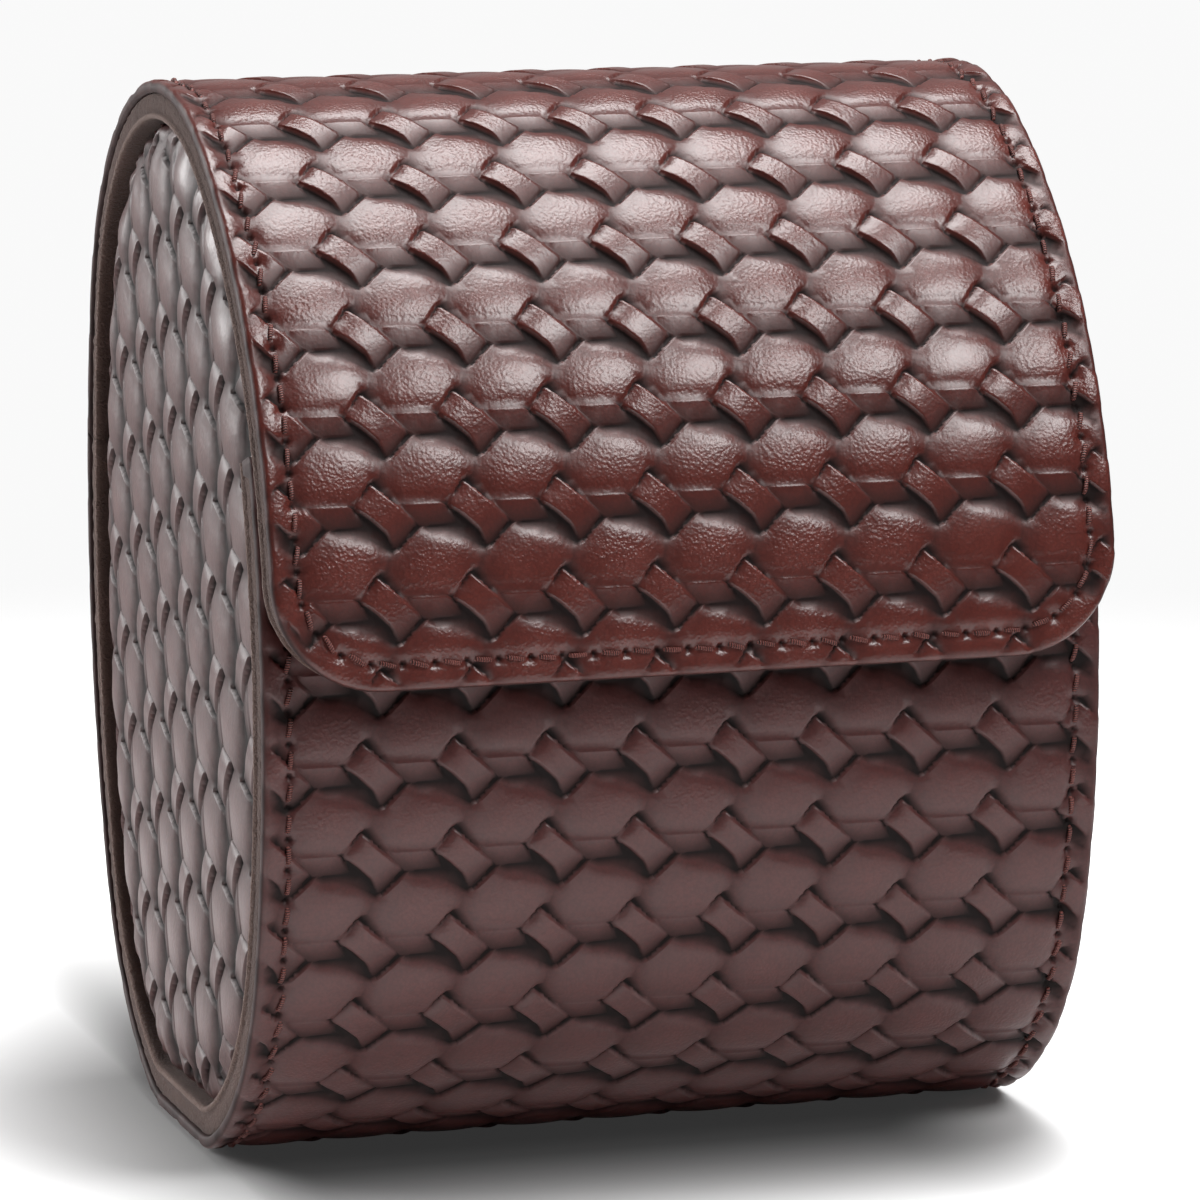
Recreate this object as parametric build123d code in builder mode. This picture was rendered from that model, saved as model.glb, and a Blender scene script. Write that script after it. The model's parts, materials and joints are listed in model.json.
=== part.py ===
from build123d import *
import os
from math import asin, atan2, cos, degrees, radians, sin, sqrt

# Single-watch roll case: a leather-covered oval tube that stands on a narrow flat base, with
# padded ends, a lid flap that is the free end of the same leather strip, and a lift-out
# cushion that the watch is strapped round. Millimetres; X runs along the roll, -Y is the
# front, +Z is up, and the origin is the centre of the footprint on the table.

# ---- section of the roll, in the Y-Z plane --------------------------------------------------
case_height = 92.8
crown_radius = 27.2
crown_centre_y = 2.6
base_radius = 28.6
base_centre_y = -1.4
base_flattening = 1.4
base_corner_radius = 11.0
front_radius = 77.0
back_radius = 100.0

# ---- flap -----------------------------------------------------------------------------------
flap_edge_height = 44.7
flap_corner_radius = 9.5
flap_clearance_at_hem = 0.35
flap_clearance_at_edge = 0.52
hinge_angle = 20.0
hinge_gap = 0.4
fold_width = 3.0

# ---- strip layers ---------------------------------------------------------------------------
roll_width = 75.2
leather_thickness = 1.2
suede_thickness = 0.8
case_board_thickness = 1.8
flap_board_thickness = 1.5
hem_height = 64.0

# ---- closure magnets ------------------------------------------------------------------------
magnet_radius = 4.0
magnet_thickness = 1.1
magnet_pocket_clearance = 0.1
magnet_from_side = 17.6
magnet_above_flap_edge = 8.3

# ---- padded ends ----------------------------------------------------------------------------
end_bulge = 0.8
end_clearance = 0.3
end_leather_thickness = 1.0
end_foam_thickness = 6.6
end_board_thickness = 1.6
end_crown_radius = 420.0
end_edge_depth = 3.2
end_edge_slope = 42.0

# ---- cushion --------------------------------------------------------------------------------
cushion_floor_clearance = 0.3
cushion_end_clearance = 0.6
cushion_top_below_hem = 1.9
strap_gap = 4.8
cushion_cover_thickness = 1.2
cushion_end_thickness = 2.2
cushion_edge_bevel = 1.2

os.makedirs("parts", exist_ok=True)


# ---- section geometry -----------------------------------------------------------------------
def heading(start, end):
    """Polar angle, in degrees, of the direction from one section point to another."""
    return degrees(atan2(end.Y - start.Y, end.X - start.X))


def polar(centre, radius, angle):
    """Section point at a radius and polar angle from a centre."""
    return centre + Vector(radius * cos(radians(angle)), radius * sin(radians(angle)))


def centre_reaching(first, first_reach, second, second_reach, side):
    """Point at the given distances from two others, on the back (+1) or front (-1) side."""
    gap = second - first
    along = (first_reach**2 - second_reach**2 + gap.length**2) / (2 * gap.length)
    across = sqrt(first_reach**2 - along**2)
    return first + gap.normalized() * along + Vector(-gap.Y, gap.X).normalized() * across * side


def centre_through(start, end, circle, radius):
    """Centre of the arc through two points that runs on smoothly from a smaller circle inside it."""
    half_chord = (end - start).length / 2
    middle = (start + end) / 2
    across = Vector(start.Y - end.Y, end.X - start.X).normalized()
    # the arc's radius is slope * shift + rise, and it is the hypotenuse of shift and half_chord
    slope = (circle - middle).dot(across) / radius
    rise = (half_chord**2 + radius**2 - (circle - middle).length ** 2) / (2 * radius)
    square = slope**2 - 1
    root = sqrt((slope * rise) ** 2 - square * (rise**2 - half_chord**2))
    return middle + across * (root - slope * rise) / square


wall = leather_thickness + case_board_thickness + suede_thickness
flap_wall = leather_thickness + flap_board_thickness + suede_thickness
half_width = roll_width / 2

crown = Vector(crown_centre_y, case_height - crown_radius)
base = Vector(base_centre_y, base_radius - base_flattening)
front = centre_reaching(crown, front_radius - crown_radius, base, front_radius - base_radius, 1)
back = centre_reaching(crown, back_radius - crown_radius, base, back_radius - base_radius, -1)


def off_front(height, clearance):
    """Section point at a clearance from the case's front face, level with a height on that face."""
    rise = degrees(asin((height - front.Y) / front_radius))
    return polar(front, front_radius + clearance, 180 - rise)


# the flap's inner face runs on from the crown and clears the case at its hem and at its edge
flap_at_hem = off_front(hem_height, flap_clearance_at_hem)
flap_at_edge = off_front(flap_edge_height, flap_clearance_at_edge)
flap_front = centre_through(flap_at_hem, flap_at_edge, crown, crown_radius - flap_wall)
flap_front_radius = (flap_at_hem - flap_front).length + flap_wall
flap_leaves_crown_at = heading(flap_front, crown)

# the footprint's centre is the origin: half way from the flap's face to the back
section_shift = Vector(-(flap_front.X - flap_front_radius + back.X + back_radius) / 2, 0)
crown += section_shift
base += section_shift
front += section_shift
back += section_shift
flap_front += section_shift

crown_to_front = heading(front, crown)
crown_to_back = heading(back, crown)
back_to_base = heading(back, base)
front_to_base = heading(front, base) % 360 - 360
corner_reach = sqrt((base_radius - base_corner_radius) ** 2 - (base.Y - base_corner_radius) ** 2)
back_corner = Vector(base.X + corner_reach, base_corner_radius)
front_corner = Vector(base.X - corner_reach, base_corner_radius)
base_to_back_corner = heading(base, back_corner)
base_to_front_corner = heading(base, front_corner)
hinge_point = polar(crown, crown_radius, hinge_angle)


def arc(centre, radius, start, end):
    """Arc about a centre from one polar angle to another."""
    return CenterArc(centre, radius, start, end - start)


def oval(inset):
    """Closed section of the roll, inset all round, as a face in local coordinates."""
    with BuildSketch() as outline:
        with BuildLine():
            arc(crown, crown_radius - inset, crown_to_front, crown_to_back)
            arc(back, back_radius - inset, crown_to_back, back_to_base)
            arc(base, base_radius - inset, back_to_base, base_to_back_corner)
            arc(back_corner, base_corner_radius - inset, base_to_back_corner, -90)
            Line((back_corner.X, inset), (front_corner.X, inset))
            arc(front_corner, base_corner_radius - inset, -90, base_to_front_corner)
            arc(base, base_radius - inset, base_to_front_corner, front_to_base)
            arc(front, front_radius - inset, front_to_base, crown_to_front - 360)
        make_face()
    return outline.sketch


def case_band(outer, inner, hem, hinge_side_gap):
    """Section of one layer of the case wall, open from the front hem over to the hinge."""
    reach = 3 * case_height
    hinge_end = polar(crown, hinge_side_gap, hinge_angle - 90)
    with BuildSketch() as band:
        add(oval(outer))
        add(oval(inner), mode=Mode.SUBTRACT)
        with BuildLine():
            Polyline(
                (-reach, hem),
                (crown.X, hem),
                hinge_end,
                polar(hinge_end, reach, hinge_angle),
                (reach, 2 * reach),
                (-reach, 2 * reach),
                close=True,
            )
        make_face(mode=Mode.SUBTRACT)
    return band.sketch


def flap_band(outer, inner, hinge_side_gap):
    """Section of one layer of the flap, from the hinge over the crown and down the front."""
    start = hinge_angle + degrees(hinge_side_gap / crown_radius)

    def edge_angle(inset):
        drop = flap_front.Y - flap_edge_height + flap_wall
        return 180 + degrees(asin(drop / (flap_front_radius - inset)))

    with BuildSketch() as band:
        with BuildLine():
            arc(crown, crown_radius - outer, start, flap_leaves_crown_at)
            face = arc(flap_front, flap_front_radius - outer, flap_leaves_crown_at, edge_angle(outer))
            rear = arc(flap_front, flap_front_radius - inner, edge_angle(inner), flap_leaves_crown_at)
            Line(face @ 1, rear @ 0)
            inside = arc(crown, crown_radius - inner, flap_leaves_crown_at, start)
            Line(inside @ 1, polar(crown, crown_radius - outer, start))
        make_face()
    return band.sketch


def flap_layer(outer, inner, edge_inset, hinge_side_gap):
    """One layer of the flap, trimmed to the flap's outline with its rounded lower corners."""
    with BuildPart() as layer:
        with BuildSketch(Plane.YZ):
            add(flap_band(outer, inner, hinge_side_gap))
        extrude(amount=half_width, both=True)
        lower_edge = flap_edge_height + edge_inset
        outline_height = 2 * case_height
        with BuildSketch(Plane.XZ):
            with Locations((0, lower_edge + outline_height / 2)):
                RectangleRounded(
                    roll_width - 2 * edge_inset,
                    outline_height,
                    flap_corner_radius - edge_inset,
                )
        extrude(amount=case_height, both=True, mode=Mode.INTERSECT)
    return layer.part


def magnet_plane(side, centre, radius, layer_middle):
    """Plane through the middle of a curved board at the magnet's height, facing outwards."""
    magnet_height = flap_edge_height + magnet_above_flap_edge
    angle = 180 - degrees(asin((magnet_height - centre.Y) / radius))
    middle = polar(centre, radius - layer_middle, angle)
    outward = polar(Vector(), 1, angle)
    return Plane(
        origin=(side * (half_width - magnet_from_side), middle.X, middle.Y),
        x_dir=(1, 0, 0),
        z_dir=(0, outward.X, outward.Y),
    )


def disc(plane, radius, thickness):
    """Round disc centred on a plane."""
    with BuildPart() as piece:
        with BuildSketch(plane):
            Circle(radius)
        extrude(amount=thickness / 2, both=True)
    return piece.part


SIDES = {"left": -1, "right": 1}

# ---- case wall: board tube, embossed leather outside, suede inside ---------------------------
board_outer = leather_thickness
board_inner = leather_thickness + case_board_thickness
with BuildPart() as case_board_blank:
    with BuildSketch(Plane.YZ):
        add(case_band(board_outer, board_inner, hem_height - leather_thickness, fold_width))
    extrude(amount=half_width - suede_thickness, both=True)

case_magnet_middle = (board_outer + board_inner) / 2
with BuildPart() as case_board:
    add(case_board_blank.part)
    for side in SIDES.values():
        pocket = magnet_plane(side, front, front_radius, case_magnet_middle)
        add(
            disc(pocket, magnet_radius + magnet_pocket_clearance, 2 * case_board_thickness),
            mode=Mode.SUBTRACT,
        )
case_board.part.label = "case_board"
export_step(case_board.part, "parts/case_board.step")

# the leather turns over the board's front edge, so the hem shows no raw board
with BuildPart() as case_leather:
    with BuildSketch(Plane.YZ):
        add(case_band(0, leather_thickness, hem_height, hinge_gap / 2))
        add(case_band(leather_thickness, board_inner, hem_height, hinge_gap / 2))
        add(
            case_band(leather_thickness, board_inner, hem_height - leather_thickness, 0),
            mode=Mode.SUBTRACT,
        )
    extrude(amount=half_width, both=True)
case_leather.part.label = "case_leather"
export_step(case_leather.part, "parts/case_leather.step")

# the suede lines the tube and wraps the board's two side edges, where it shows round the rim
with BuildPart() as case_lining:
    with BuildSketch(Plane.YZ):
        add(case_band(leather_thickness, wall, hem_height - leather_thickness, hinge_gap / 2))
        add(case_band(board_inner, wall, hem_height, hinge_gap / 2))
    extrude(amount=half_width, both=True)
    add(case_board_blank.part, mode=Mode.SUBTRACT)
case_lining.part.label = "case_lining"
export_step(case_lining.part, "parts/case_lining.step")

for name, side in SIDES.items():
    with BuildPart() as case_magnet:
        seat = magnet_plane(side, front, front_radius, case_magnet_middle)
        add(disc(seat, magnet_radius, magnet_thickness))
    case_magnet.part.label = f"case_magnet_{name}"
    export_step(case_magnet.part, f"parts/case_magnet_{name}.step")

# ---- flap: the same strip carried over the crown and down the front --------------------------
flap_board_outer = leather_thickness
flap_board_inner = leather_thickness + flap_board_thickness
flap_board_blank = flap_layer(flap_board_outer, flap_board_inner, suede_thickness, fold_width)

flap_magnet_middle = (flap_board_outer + flap_board_inner) / 2
with BuildPart() as flap_board:
    add(flap_board_blank)
    for side in SIDES.values():
        pocket = magnet_plane(side, flap_front, flap_front_radius, flap_magnet_middle)
        add(
            disc(pocket, magnet_radius + magnet_pocket_clearance, 2 * flap_board_thickness),
            mode=Mode.SUBTRACT,
        )
flap_board.part.label = "flap_board"
export_step(flap_board.part, "parts/flap_board.step")

with BuildPart() as flap_leather:
    add(flap_layer(0, leather_thickness, 0, hinge_gap / 2))
flap_leather.part.label = "flap_leather"
export_step(flap_leather.part, "parts/flap_leather.step")

with BuildPart() as flap_lining:
    add(flap_layer(leather_thickness, flap_wall, 0, hinge_gap / 2))
    add(flap_board_blank, mode=Mode.SUBTRACT)
flap_lining.part.label = "flap_lining"
export_step(flap_lining.part, "parts/flap_lining.step")

for name, side in SIDES.items():
    with BuildPart() as flap_magnet:
        seat = magnet_plane(side, flap_front, flap_front_radius, flap_magnet_middle)
        add(disc(seat, magnet_radius, magnet_thickness))
    flap_magnet.part.label = f"flap_magnet_{name}"
    export_step(flap_magnet.part, f"parts/flap_magnet_{name}.step")


# ---- padded ends ----------------------------------------------------------------------------
def padded_block(inset, outer_face, depth, sink):
    """Oval block for the right-hand end, with a shallow domed face and a bevelled rim."""
    straight_depth = depth - end_edge_depth + sink
    with BuildPart() as block:
        with BuildSketch(Plane.YZ.offset(outer_face - depth)):
            add(oval(inset))
        extrude(amount=straight_depth)
        extrude(block.faces().sort_by(Axis.X)[-1], amount=depth - straight_depth, taper=end_edge_slope)
        dome_radius = end_crown_radius - sink
        with Locations((outer_face - dome_radius, (crown.X + base.X) / 2, (crown.Y + base.Y) / 2)):
            Sphere(dome_radius, mode=Mode.INTERSECT)
    return block.part


def on_side(piece, side):
    """The right-hand piece itself, or its mirror image for the left-hand side."""
    return piece if side > 0 else mirror(piece, about=Plane.YZ, mode=Mode.PRIVATE)


end_stack = end_leather_thickness + end_foam_thickness + end_board_thickness
end_face = half_width + end_bulge
end_inset = wall + end_clearance
end_back = end_face - end_stack
foam_back = end_back + end_board_thickness
filled_end = padded_block(end_inset, end_face, end_stack, 0)
end_filling = padded_block(
    end_inset + end_leather_thickness,
    end_face - end_leather_thickness,
    end_foam_thickness + end_board_thickness,
    end_leather_thickness,
)
for name, side in SIDES.items():
    with BuildPart() as end_leather:
        add(on_side(filled_end, side))
        add(on_side(end_filling, side), mode=Mode.SUBTRACT)
    end_leather.part.label = f"end_leather_{name}"
    export_step(end_leather.part, f"parts/end_leather_{name}.step")

    with BuildPart() as end_foam:
        add(on_side(end_filling, side))
        split(bisect_by=Plane.YZ.offset(side * foam_back), keep=Keep.TOP if side > 0 else Keep.BOTTOM)
    end_foam.part.label = f"end_foam_{name}"
    export_step(end_foam.part, f"parts/end_foam_{name}.step")

    with BuildPart() as end_board:
        add(on_side(end_filling, side))
        split(bisect_by=Plane.YZ.offset(side * foam_back), keep=Keep.BOTTOM if side > 0 else Keep.TOP)
    end_board.part.label = f"end_board_{name}"
    export_step(end_board.part, f"parts/end_board_{name}.step")

    with BuildPart() as end_lining:
        with BuildSketch(Plane.YZ.offset(side * end_back)):
            add(oval(end_inset))
        extrude(amount=-side * suede_thickness)
    end_lining.part.label = f"end_lining_{name}"
    export_step(end_lining.part, f"parts/end_lining_{name}.step")

# ---- lift-out cushion -----------------------------------------------------------------------
cushion_bottom = wall + cushion_floor_clearance
cushion_height = hem_height - cushion_top_below_hem - cushion_bottom
cushion_depth = 2 * (base_radius - wall - strap_gap)
cushion_length = 2 * (end_back - suede_thickness - cushion_end_clearance)
cushion_centre = (base.X, cushion_bottom + cushion_height / 2)


def cushion_section(inset):
    """Upright cushion section with full round ends, inset all round."""
    with BuildSketch() as section:
        with Locations(cushion_centre):
            SlotOverall(cushion_height - 2 * inset, cushion_depth - 2 * inset, rotation=90)
    return section.sketch


cover_half_length = cushion_length / 2 - cushion_end_thickness
with BuildPart() as cushion_core:
    with BuildSketch(Plane.YZ):
        add(cushion_section(cushion_cover_thickness))
    extrude(amount=cover_half_length, both=True)
cushion_core.part.label = "cushion_core"
export_step(cushion_core.part, "parts/cushion_core.step")

with BuildPart() as cushion_cover:
    with BuildSketch(Plane.YZ):
        add(cushion_section(0))
        add(cushion_section(cushion_cover_thickness), mode=Mode.SUBTRACT)
    extrude(amount=cover_half_length, both=True)
cushion_cover.part.label = "cushion_cover"
export_step(cushion_cover.part, "parts/cushion_cover.step")

for name, side in SIDES.items():
    with BuildPart() as cushion_end:
        with BuildSketch(Plane.YZ.offset(side * cover_half_length)):
            add(cushion_section(0))
        extrude(amount=side * cushion_end_thickness)
        outer_rim = cushion_end.edges().group_by(Axis.X)[-1 if side > 0 else 0]
        chamfer(outer_rim, cushion_edge_bevel)
    cushion_end.part.label = f"cushion_end_{name}"
    export_step(cushion_end.part, f"parts/cushion_end_{name}.step")

print(f"hinge axis at y {hinge_point.X:.3f}, z {hinge_point.Y:.3f}")
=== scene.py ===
import itertools
import json
import logging
import math
from dataclasses import dataclass, replace
from enum import Enum
from typing import Any, Callable, Sequence

import bpy
import numpy as np
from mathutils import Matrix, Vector, noise
from mathutils.geometry import delaunay_2d_cdt


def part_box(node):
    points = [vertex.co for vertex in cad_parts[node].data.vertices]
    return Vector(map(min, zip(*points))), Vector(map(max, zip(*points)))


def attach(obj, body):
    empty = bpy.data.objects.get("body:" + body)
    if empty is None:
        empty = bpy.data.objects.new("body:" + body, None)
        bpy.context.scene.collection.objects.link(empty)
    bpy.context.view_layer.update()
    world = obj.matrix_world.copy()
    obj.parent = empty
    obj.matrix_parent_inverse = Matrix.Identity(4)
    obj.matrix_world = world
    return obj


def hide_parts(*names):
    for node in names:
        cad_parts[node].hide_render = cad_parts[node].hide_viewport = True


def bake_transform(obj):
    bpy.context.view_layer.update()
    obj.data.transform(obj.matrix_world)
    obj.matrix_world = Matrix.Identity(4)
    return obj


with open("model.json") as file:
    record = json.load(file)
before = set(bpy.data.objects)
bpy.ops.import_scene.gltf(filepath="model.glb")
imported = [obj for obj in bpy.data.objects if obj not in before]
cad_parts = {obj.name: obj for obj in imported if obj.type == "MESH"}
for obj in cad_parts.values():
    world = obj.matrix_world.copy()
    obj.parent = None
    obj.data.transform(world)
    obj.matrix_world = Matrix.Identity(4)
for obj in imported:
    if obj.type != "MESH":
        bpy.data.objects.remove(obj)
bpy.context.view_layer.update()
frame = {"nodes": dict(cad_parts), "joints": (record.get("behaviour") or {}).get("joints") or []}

log = logging.getLogger("roll_case")

MM = 0.001
ROW_STEP = 0.87
FAR = 1e9
SIDE_SHARE = 0.25

Array = np.ndarray
Piece = bpy.types.Object
Material = bpy.types.Material
Pair = tuple[float, float]
Spot = tuple[float, float, float]
Tint = tuple[int, int, int]
Cells = tuple[Array, Array]
Faces = list[Sequence[int]]
Values = dict[str, Array]
Placer = Callable[[Array, Array], Array]
Leveller = Callable[[Array], Array]
Sockets = dict[str | int, Any]


class Finish(Enum):
    """Material slots of the record."""

    CASE_LEATHER = "embossed_leather"
    FLAP_LEATHER = "flap_leather_finish"
    SUEDE = "suede"
    CUSHION = "cushion_suede"


class Side(Enum):
    """The two ends of the roll, as seen from the front."""

    LEFT = -1
    RIGHT = 1


# ---- section of the roll ----
@dataclass(frozen=True)
class Bend:
    """One run of the section: an arc about a centre, or a straight run where the radius is zero.

    The angle is the polar angle of the outward normal where the run starts.
    """

    start: float
    length: float
    centre: Array
    radius: float
    angle: float

    @property
    def end(self) -> float:
        """Distance along the strip where the run stops."""
        return self.start + self.length

    def at(self, along: Array, height: Array) -> Array:
        """Section points of this run.

        Args:
            along: Distances along the strip.
            height: Distances out of the surface.

        Returns:
            An array of (y, z) points.
        """
        if not self.radius:
            out = np.array([math.cos(self.angle), math.sin(self.angle)])
            forward = np.array([-out[1], out[0]])
            return self.centre + np.outer(along - self.start, forward) + np.outer(height, out)
        angle = self.angle + (along - self.start) / self.radius
        reach = self.radius + height
        return self.centre + np.stack([reach * np.cos(angle), reach * np.sin(angle)], -1)


def heading(start: Array, end: Array) -> float:
    """Polar angle, in radians, of the direction from one section point to another."""
    return math.atan2(end[1] - start[1], end[0] - start[0])


def centre_reaching(
    first: Array, reach: float, second: Array, other_reach: float, side: int
) -> Array:
    """Finds the point at given distances from two others.

    Args:
        first: The first point.
        reach: Distance from the first point.
        second: The second point.
        other_reach: Distance from the second point.
        side: 1 for the solution towards the back, -1 for the one towards the front.

    Returns:
        The point.
    """
    gap = second - first
    length = float(np.hypot(*gap))
    along = (reach**2 - other_reach**2 + length**2) / (2 * length)
    across = math.sqrt(reach**2 - along**2)
    unit = gap / length
    return first + unit * along + np.array([-unit[1], unit[0]]) * across * side


@dataclass(frozen=True)
class Section:
    """Y-Z section of the roll, and the path of the leather strip round it."""

    crown_radius: float = 27.2 * MM
    base_radius: float = 28.6 * MM
    crown_ahead_of_base: float = 4.0 * MM
    base_flattening: float = 1.4 * MM
    corner_radius: float = 11.0 * MM
    front_radius: float = 77.0 * MM
    back_radius: float = 100.0 * MM
    flap_front_radius: float = 51.794 * MM
    hem_height: float = 64.0 * MM
    flap_edge_height: float = 44.7 * MM

    def centres(self) -> dict[str, Array]:
        """Finds the centres of the section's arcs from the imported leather's box.

        Returns:
            The centres, by the name of the arc.
        """
        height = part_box("flap_leather")[1].z
        crown = np.array([self.crown_ahead_of_base, height - self.crown_radius])
        base = np.array([0.0, self.base_radius - self.base_flattening])
        inner, outer = self.crown_radius, self.base_radius
        front, back = (
            centre_reaching(crown, radius - inner, base, radius - outer, side)
            for radius, side in ((self.front_radius, 1), (self.back_radius, -1))
        )
        shift = np.array([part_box("case_leather")[1].y - self.back_radius - back[0], 0.0])
        crown, base, front, back = crown + shift, base + shift, front + shift, back + shift
        lift = self.corner_radius - base[1]
        corner = math.sqrt((self.base_radius - self.corner_radius) ** 2 - lift**2)
        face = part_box("flap_leather")[0].y + self.flap_front_radius
        reach = self.flap_front_radius - self.crown_radius
        drop = math.sqrt(reach**2 - (face - crown[0]) ** 2)
        return {
            "crown": crown,
            "base": base,
            "front": front,
            "back": back,
            "front_corner": base + np.array([-corner, lift]),
            "back_corner": base + np.array([corner, lift]),
            "flap_front": np.array([face, crown[1] - drop]),
        }

    def runs(self, closed: bool) -> list[Bend]:
        """Lays the section's arcs end to end.

        Args:
            closed: True for the case's own closed oval, starting where the front meets the
                crown. False for the leather strip from the hem round to the flap's edge.

        Returns:
            The runs, in order.
        """
        at = self.centres()
        turn = 2 * math.pi
        crown_to_front = heading(at["front"], at["crown"])
        hem = math.pi - math.asin((self.hem_height - at["front"][1]) / self.front_radius)
        front_to_base = heading(at["front"], at["base"]) % turn
        base_to_front = heading(at["base"], at["front_corner"]) % turn
        base_to_back = heading(at["base"], at["back_corner"])
        back_to_base = heading(at["back"], at["base"])
        crown_to_back = heading(at["back"], at["crown"])
        leaves = heading(at["flap_front"], at["crown"])
        stops = math.pi + math.asin(
            (at["flap_front"][1] - self.flap_edge_height) / self.flap_front_radius
        )
        flat_length = at["back_corner"][0] - at["front_corner"][0]
        plan = [
            ("front", self.front_radius, crown_to_front if closed else hem, front_to_base),
            ("base", self.base_radius, front_to_base, base_to_front),
            ("front_corner", self.corner_radius, base_to_front, turn * 0.75),
            ("flat", 0.0, turn * 0.75, flat_length),
            ("back_corner", self.corner_radius, -math.pi / 2, base_to_back),
            ("base", self.base_radius, base_to_back, back_to_base),
            ("back", self.back_radius, back_to_base, crown_to_back),
            ("crown", self.crown_radius, crown_to_back, crown_to_front if closed else leaves),
        ]
        if not closed:
            plan.append(("flap_front", self.flap_front_radius, leaves, stops))
        runs, start = [], 0.0
        for name, radius, first, last in plan:
            if radius:
                run = Bend(start, radius * (last - first), at[name], radius, first)
            else:
                run = Bend(start, last, np.array([at["front_corner"][0], 0.0]), 0.0, first)
            runs.append(run)
            start = run.end
        return runs


class StripPath:
    """The leather strip's line, by distance from the hem, with the outward direction."""

    def __init__(self, runs: Sequence[Bend]) -> None:
        """Keeps the runs that make the line."""
        self.runs = list(runs)
        self.length = self.runs[-1].end

    def at(self, along: Array, height: Array) -> Array:
        """Section points along the strip.

        Args:
            along: Distances from the hem.
            height: Distances out of the leather's outer face.

        Returns:
            An array of (y, z) points.
        """
        along, height = np.asarray(along, float), np.asarray(height, float)
        points = np.zeros((len(along), 2))
        for index, run in enumerate(self.runs):
            first = index == 0
            last = index == len(self.runs) - 1
            mask = ((along >= run.start) | first) & ((along < run.end) | last)
            points[mask] = run.at(along[mask], height[mask])
        return points

    def place(self, flat: Array, height: Array) -> Array:
        """Positions of points (x, distance from the hem) at heights out of the surface."""
        section = self.at(flat[:, 1], height)
        return np.column_stack([flat[:, 0], section])


# ---- woven embossing ----
class Tile(Enum):
    """The three embossed tiles of a cell."""

    STRIP = "slanting strip"
    SCALE = "scale"
    THIN = "thin strip"


@dataclass(frozen=True)
class Edge:
    """One edge of an embossed tile: its points in cell units, and its sizes in mm.

    The lip is how far the edge's own crest stands up, and meshed is False where a neighbour's
    edge runs along the same line.
    """

    points: tuple[Pair, ...]
    drop: float
    bevel: float
    wall: float = 0.13
    lip: float = 0.0
    meshed: bool = True


@dataclass(frozen=True)
class StripFace:
    """Face of the slanting strip: it climbs from its foot to a peak and sinks behind it.

    Places are in cells, and heights, with the crown and tilt across the strip, in mm.
    """

    foot: Pair = (-0.11, 0.14)
    run: Pair = (0.44, 0.47)
    aside: Pair = (0.73, 0.68)
    cell: float = 8.0
    peak: float = 0.34
    behind: float = 0.66
    climb: Pair = (0.36, 0.2)
    fall: Pair = (0.1, 0.46)
    crown: float = 0.012
    tilt: float = 0.01

    def height(self, u: Array, v: Array) -> Array:
        """Height of the face before its edges fall away.

        Args:
            u: Place across the sheet, in cells.
            v: Place along the sheet, in cells.

        Returns:
            Heights in mm.
        """
        (run_u, run_v), (side_u, side_v) = self.run, self.aside
        u, v = u - self.foot[0], v - self.foot[1]
        t = np.clip((u * run_u + v * run_v) / (run_u**2 + run_v**2), -0.1, 1.1)
        quarter = math.pi / 2
        rising = self.climb[0] + self.climb[1] * np.sin(quarter * np.clip(t / self.peak, -0.3, 1))
        past = np.clip((t - self.peak) / self.behind, 0, 1)
        falling = self.fall[0] + self.fall[1] * np.cos(quarter * past)
        across = (u * side_u - v * side_v) * self.cell
        face = np.where(t < self.peak, rising, falling)
        return face - self.crown * across**2 + self.tilt * across


@dataclass(frozen=True)
class ScaleFace:
    """Face of the large scale: a long dome, steeper behind its ridge than in front of it."""

    top: Pair = (0.66, 0.93)
    cell: Pair = (8.08, 7.86)
    lie: Pair = (0.42, 0.91)
    peak: float = 0.62
    lengthwise: float = 0.03
    ahead: float = 0.016
    behind: float = 0.022

    def height(self, u: Array, v: Array) -> Array:
        """Height of the face before its edges fall away.

        Args:
            u: Place across the sheet, in cells.
            v: Place along the sheet, in cells.

        Returns:
            Heights in mm.
        """
        a, b = (u - self.top[0]) * self.cell[0], (v - self.top[1]) * self.cell[1]
        along = a * self.lie[0] + b * self.lie[1]
        over = a * self.lie[1] - b * self.lie[0]
        fall = np.where(over < 0, self.ahead, self.behind)
        return self.peak - self.lengthwise * along**2 - fall * over**2


@dataclass(frozen=True)
class ThinFace:
    """Face of the thin strip: bowed from side to side, and lower along the sheet."""

    peak: float = 0.37
    middle: float = 0.55
    bow: float = 1.2
    start: float = 0.25
    slope: float = 1.1

    def height(self, u: Array, v: Array) -> Array:
        """Height of the face, in mm, at places in cells."""
        return self.peak - self.bow * (u - self.middle) ** 2 - self.slope * (v - self.start)


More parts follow.
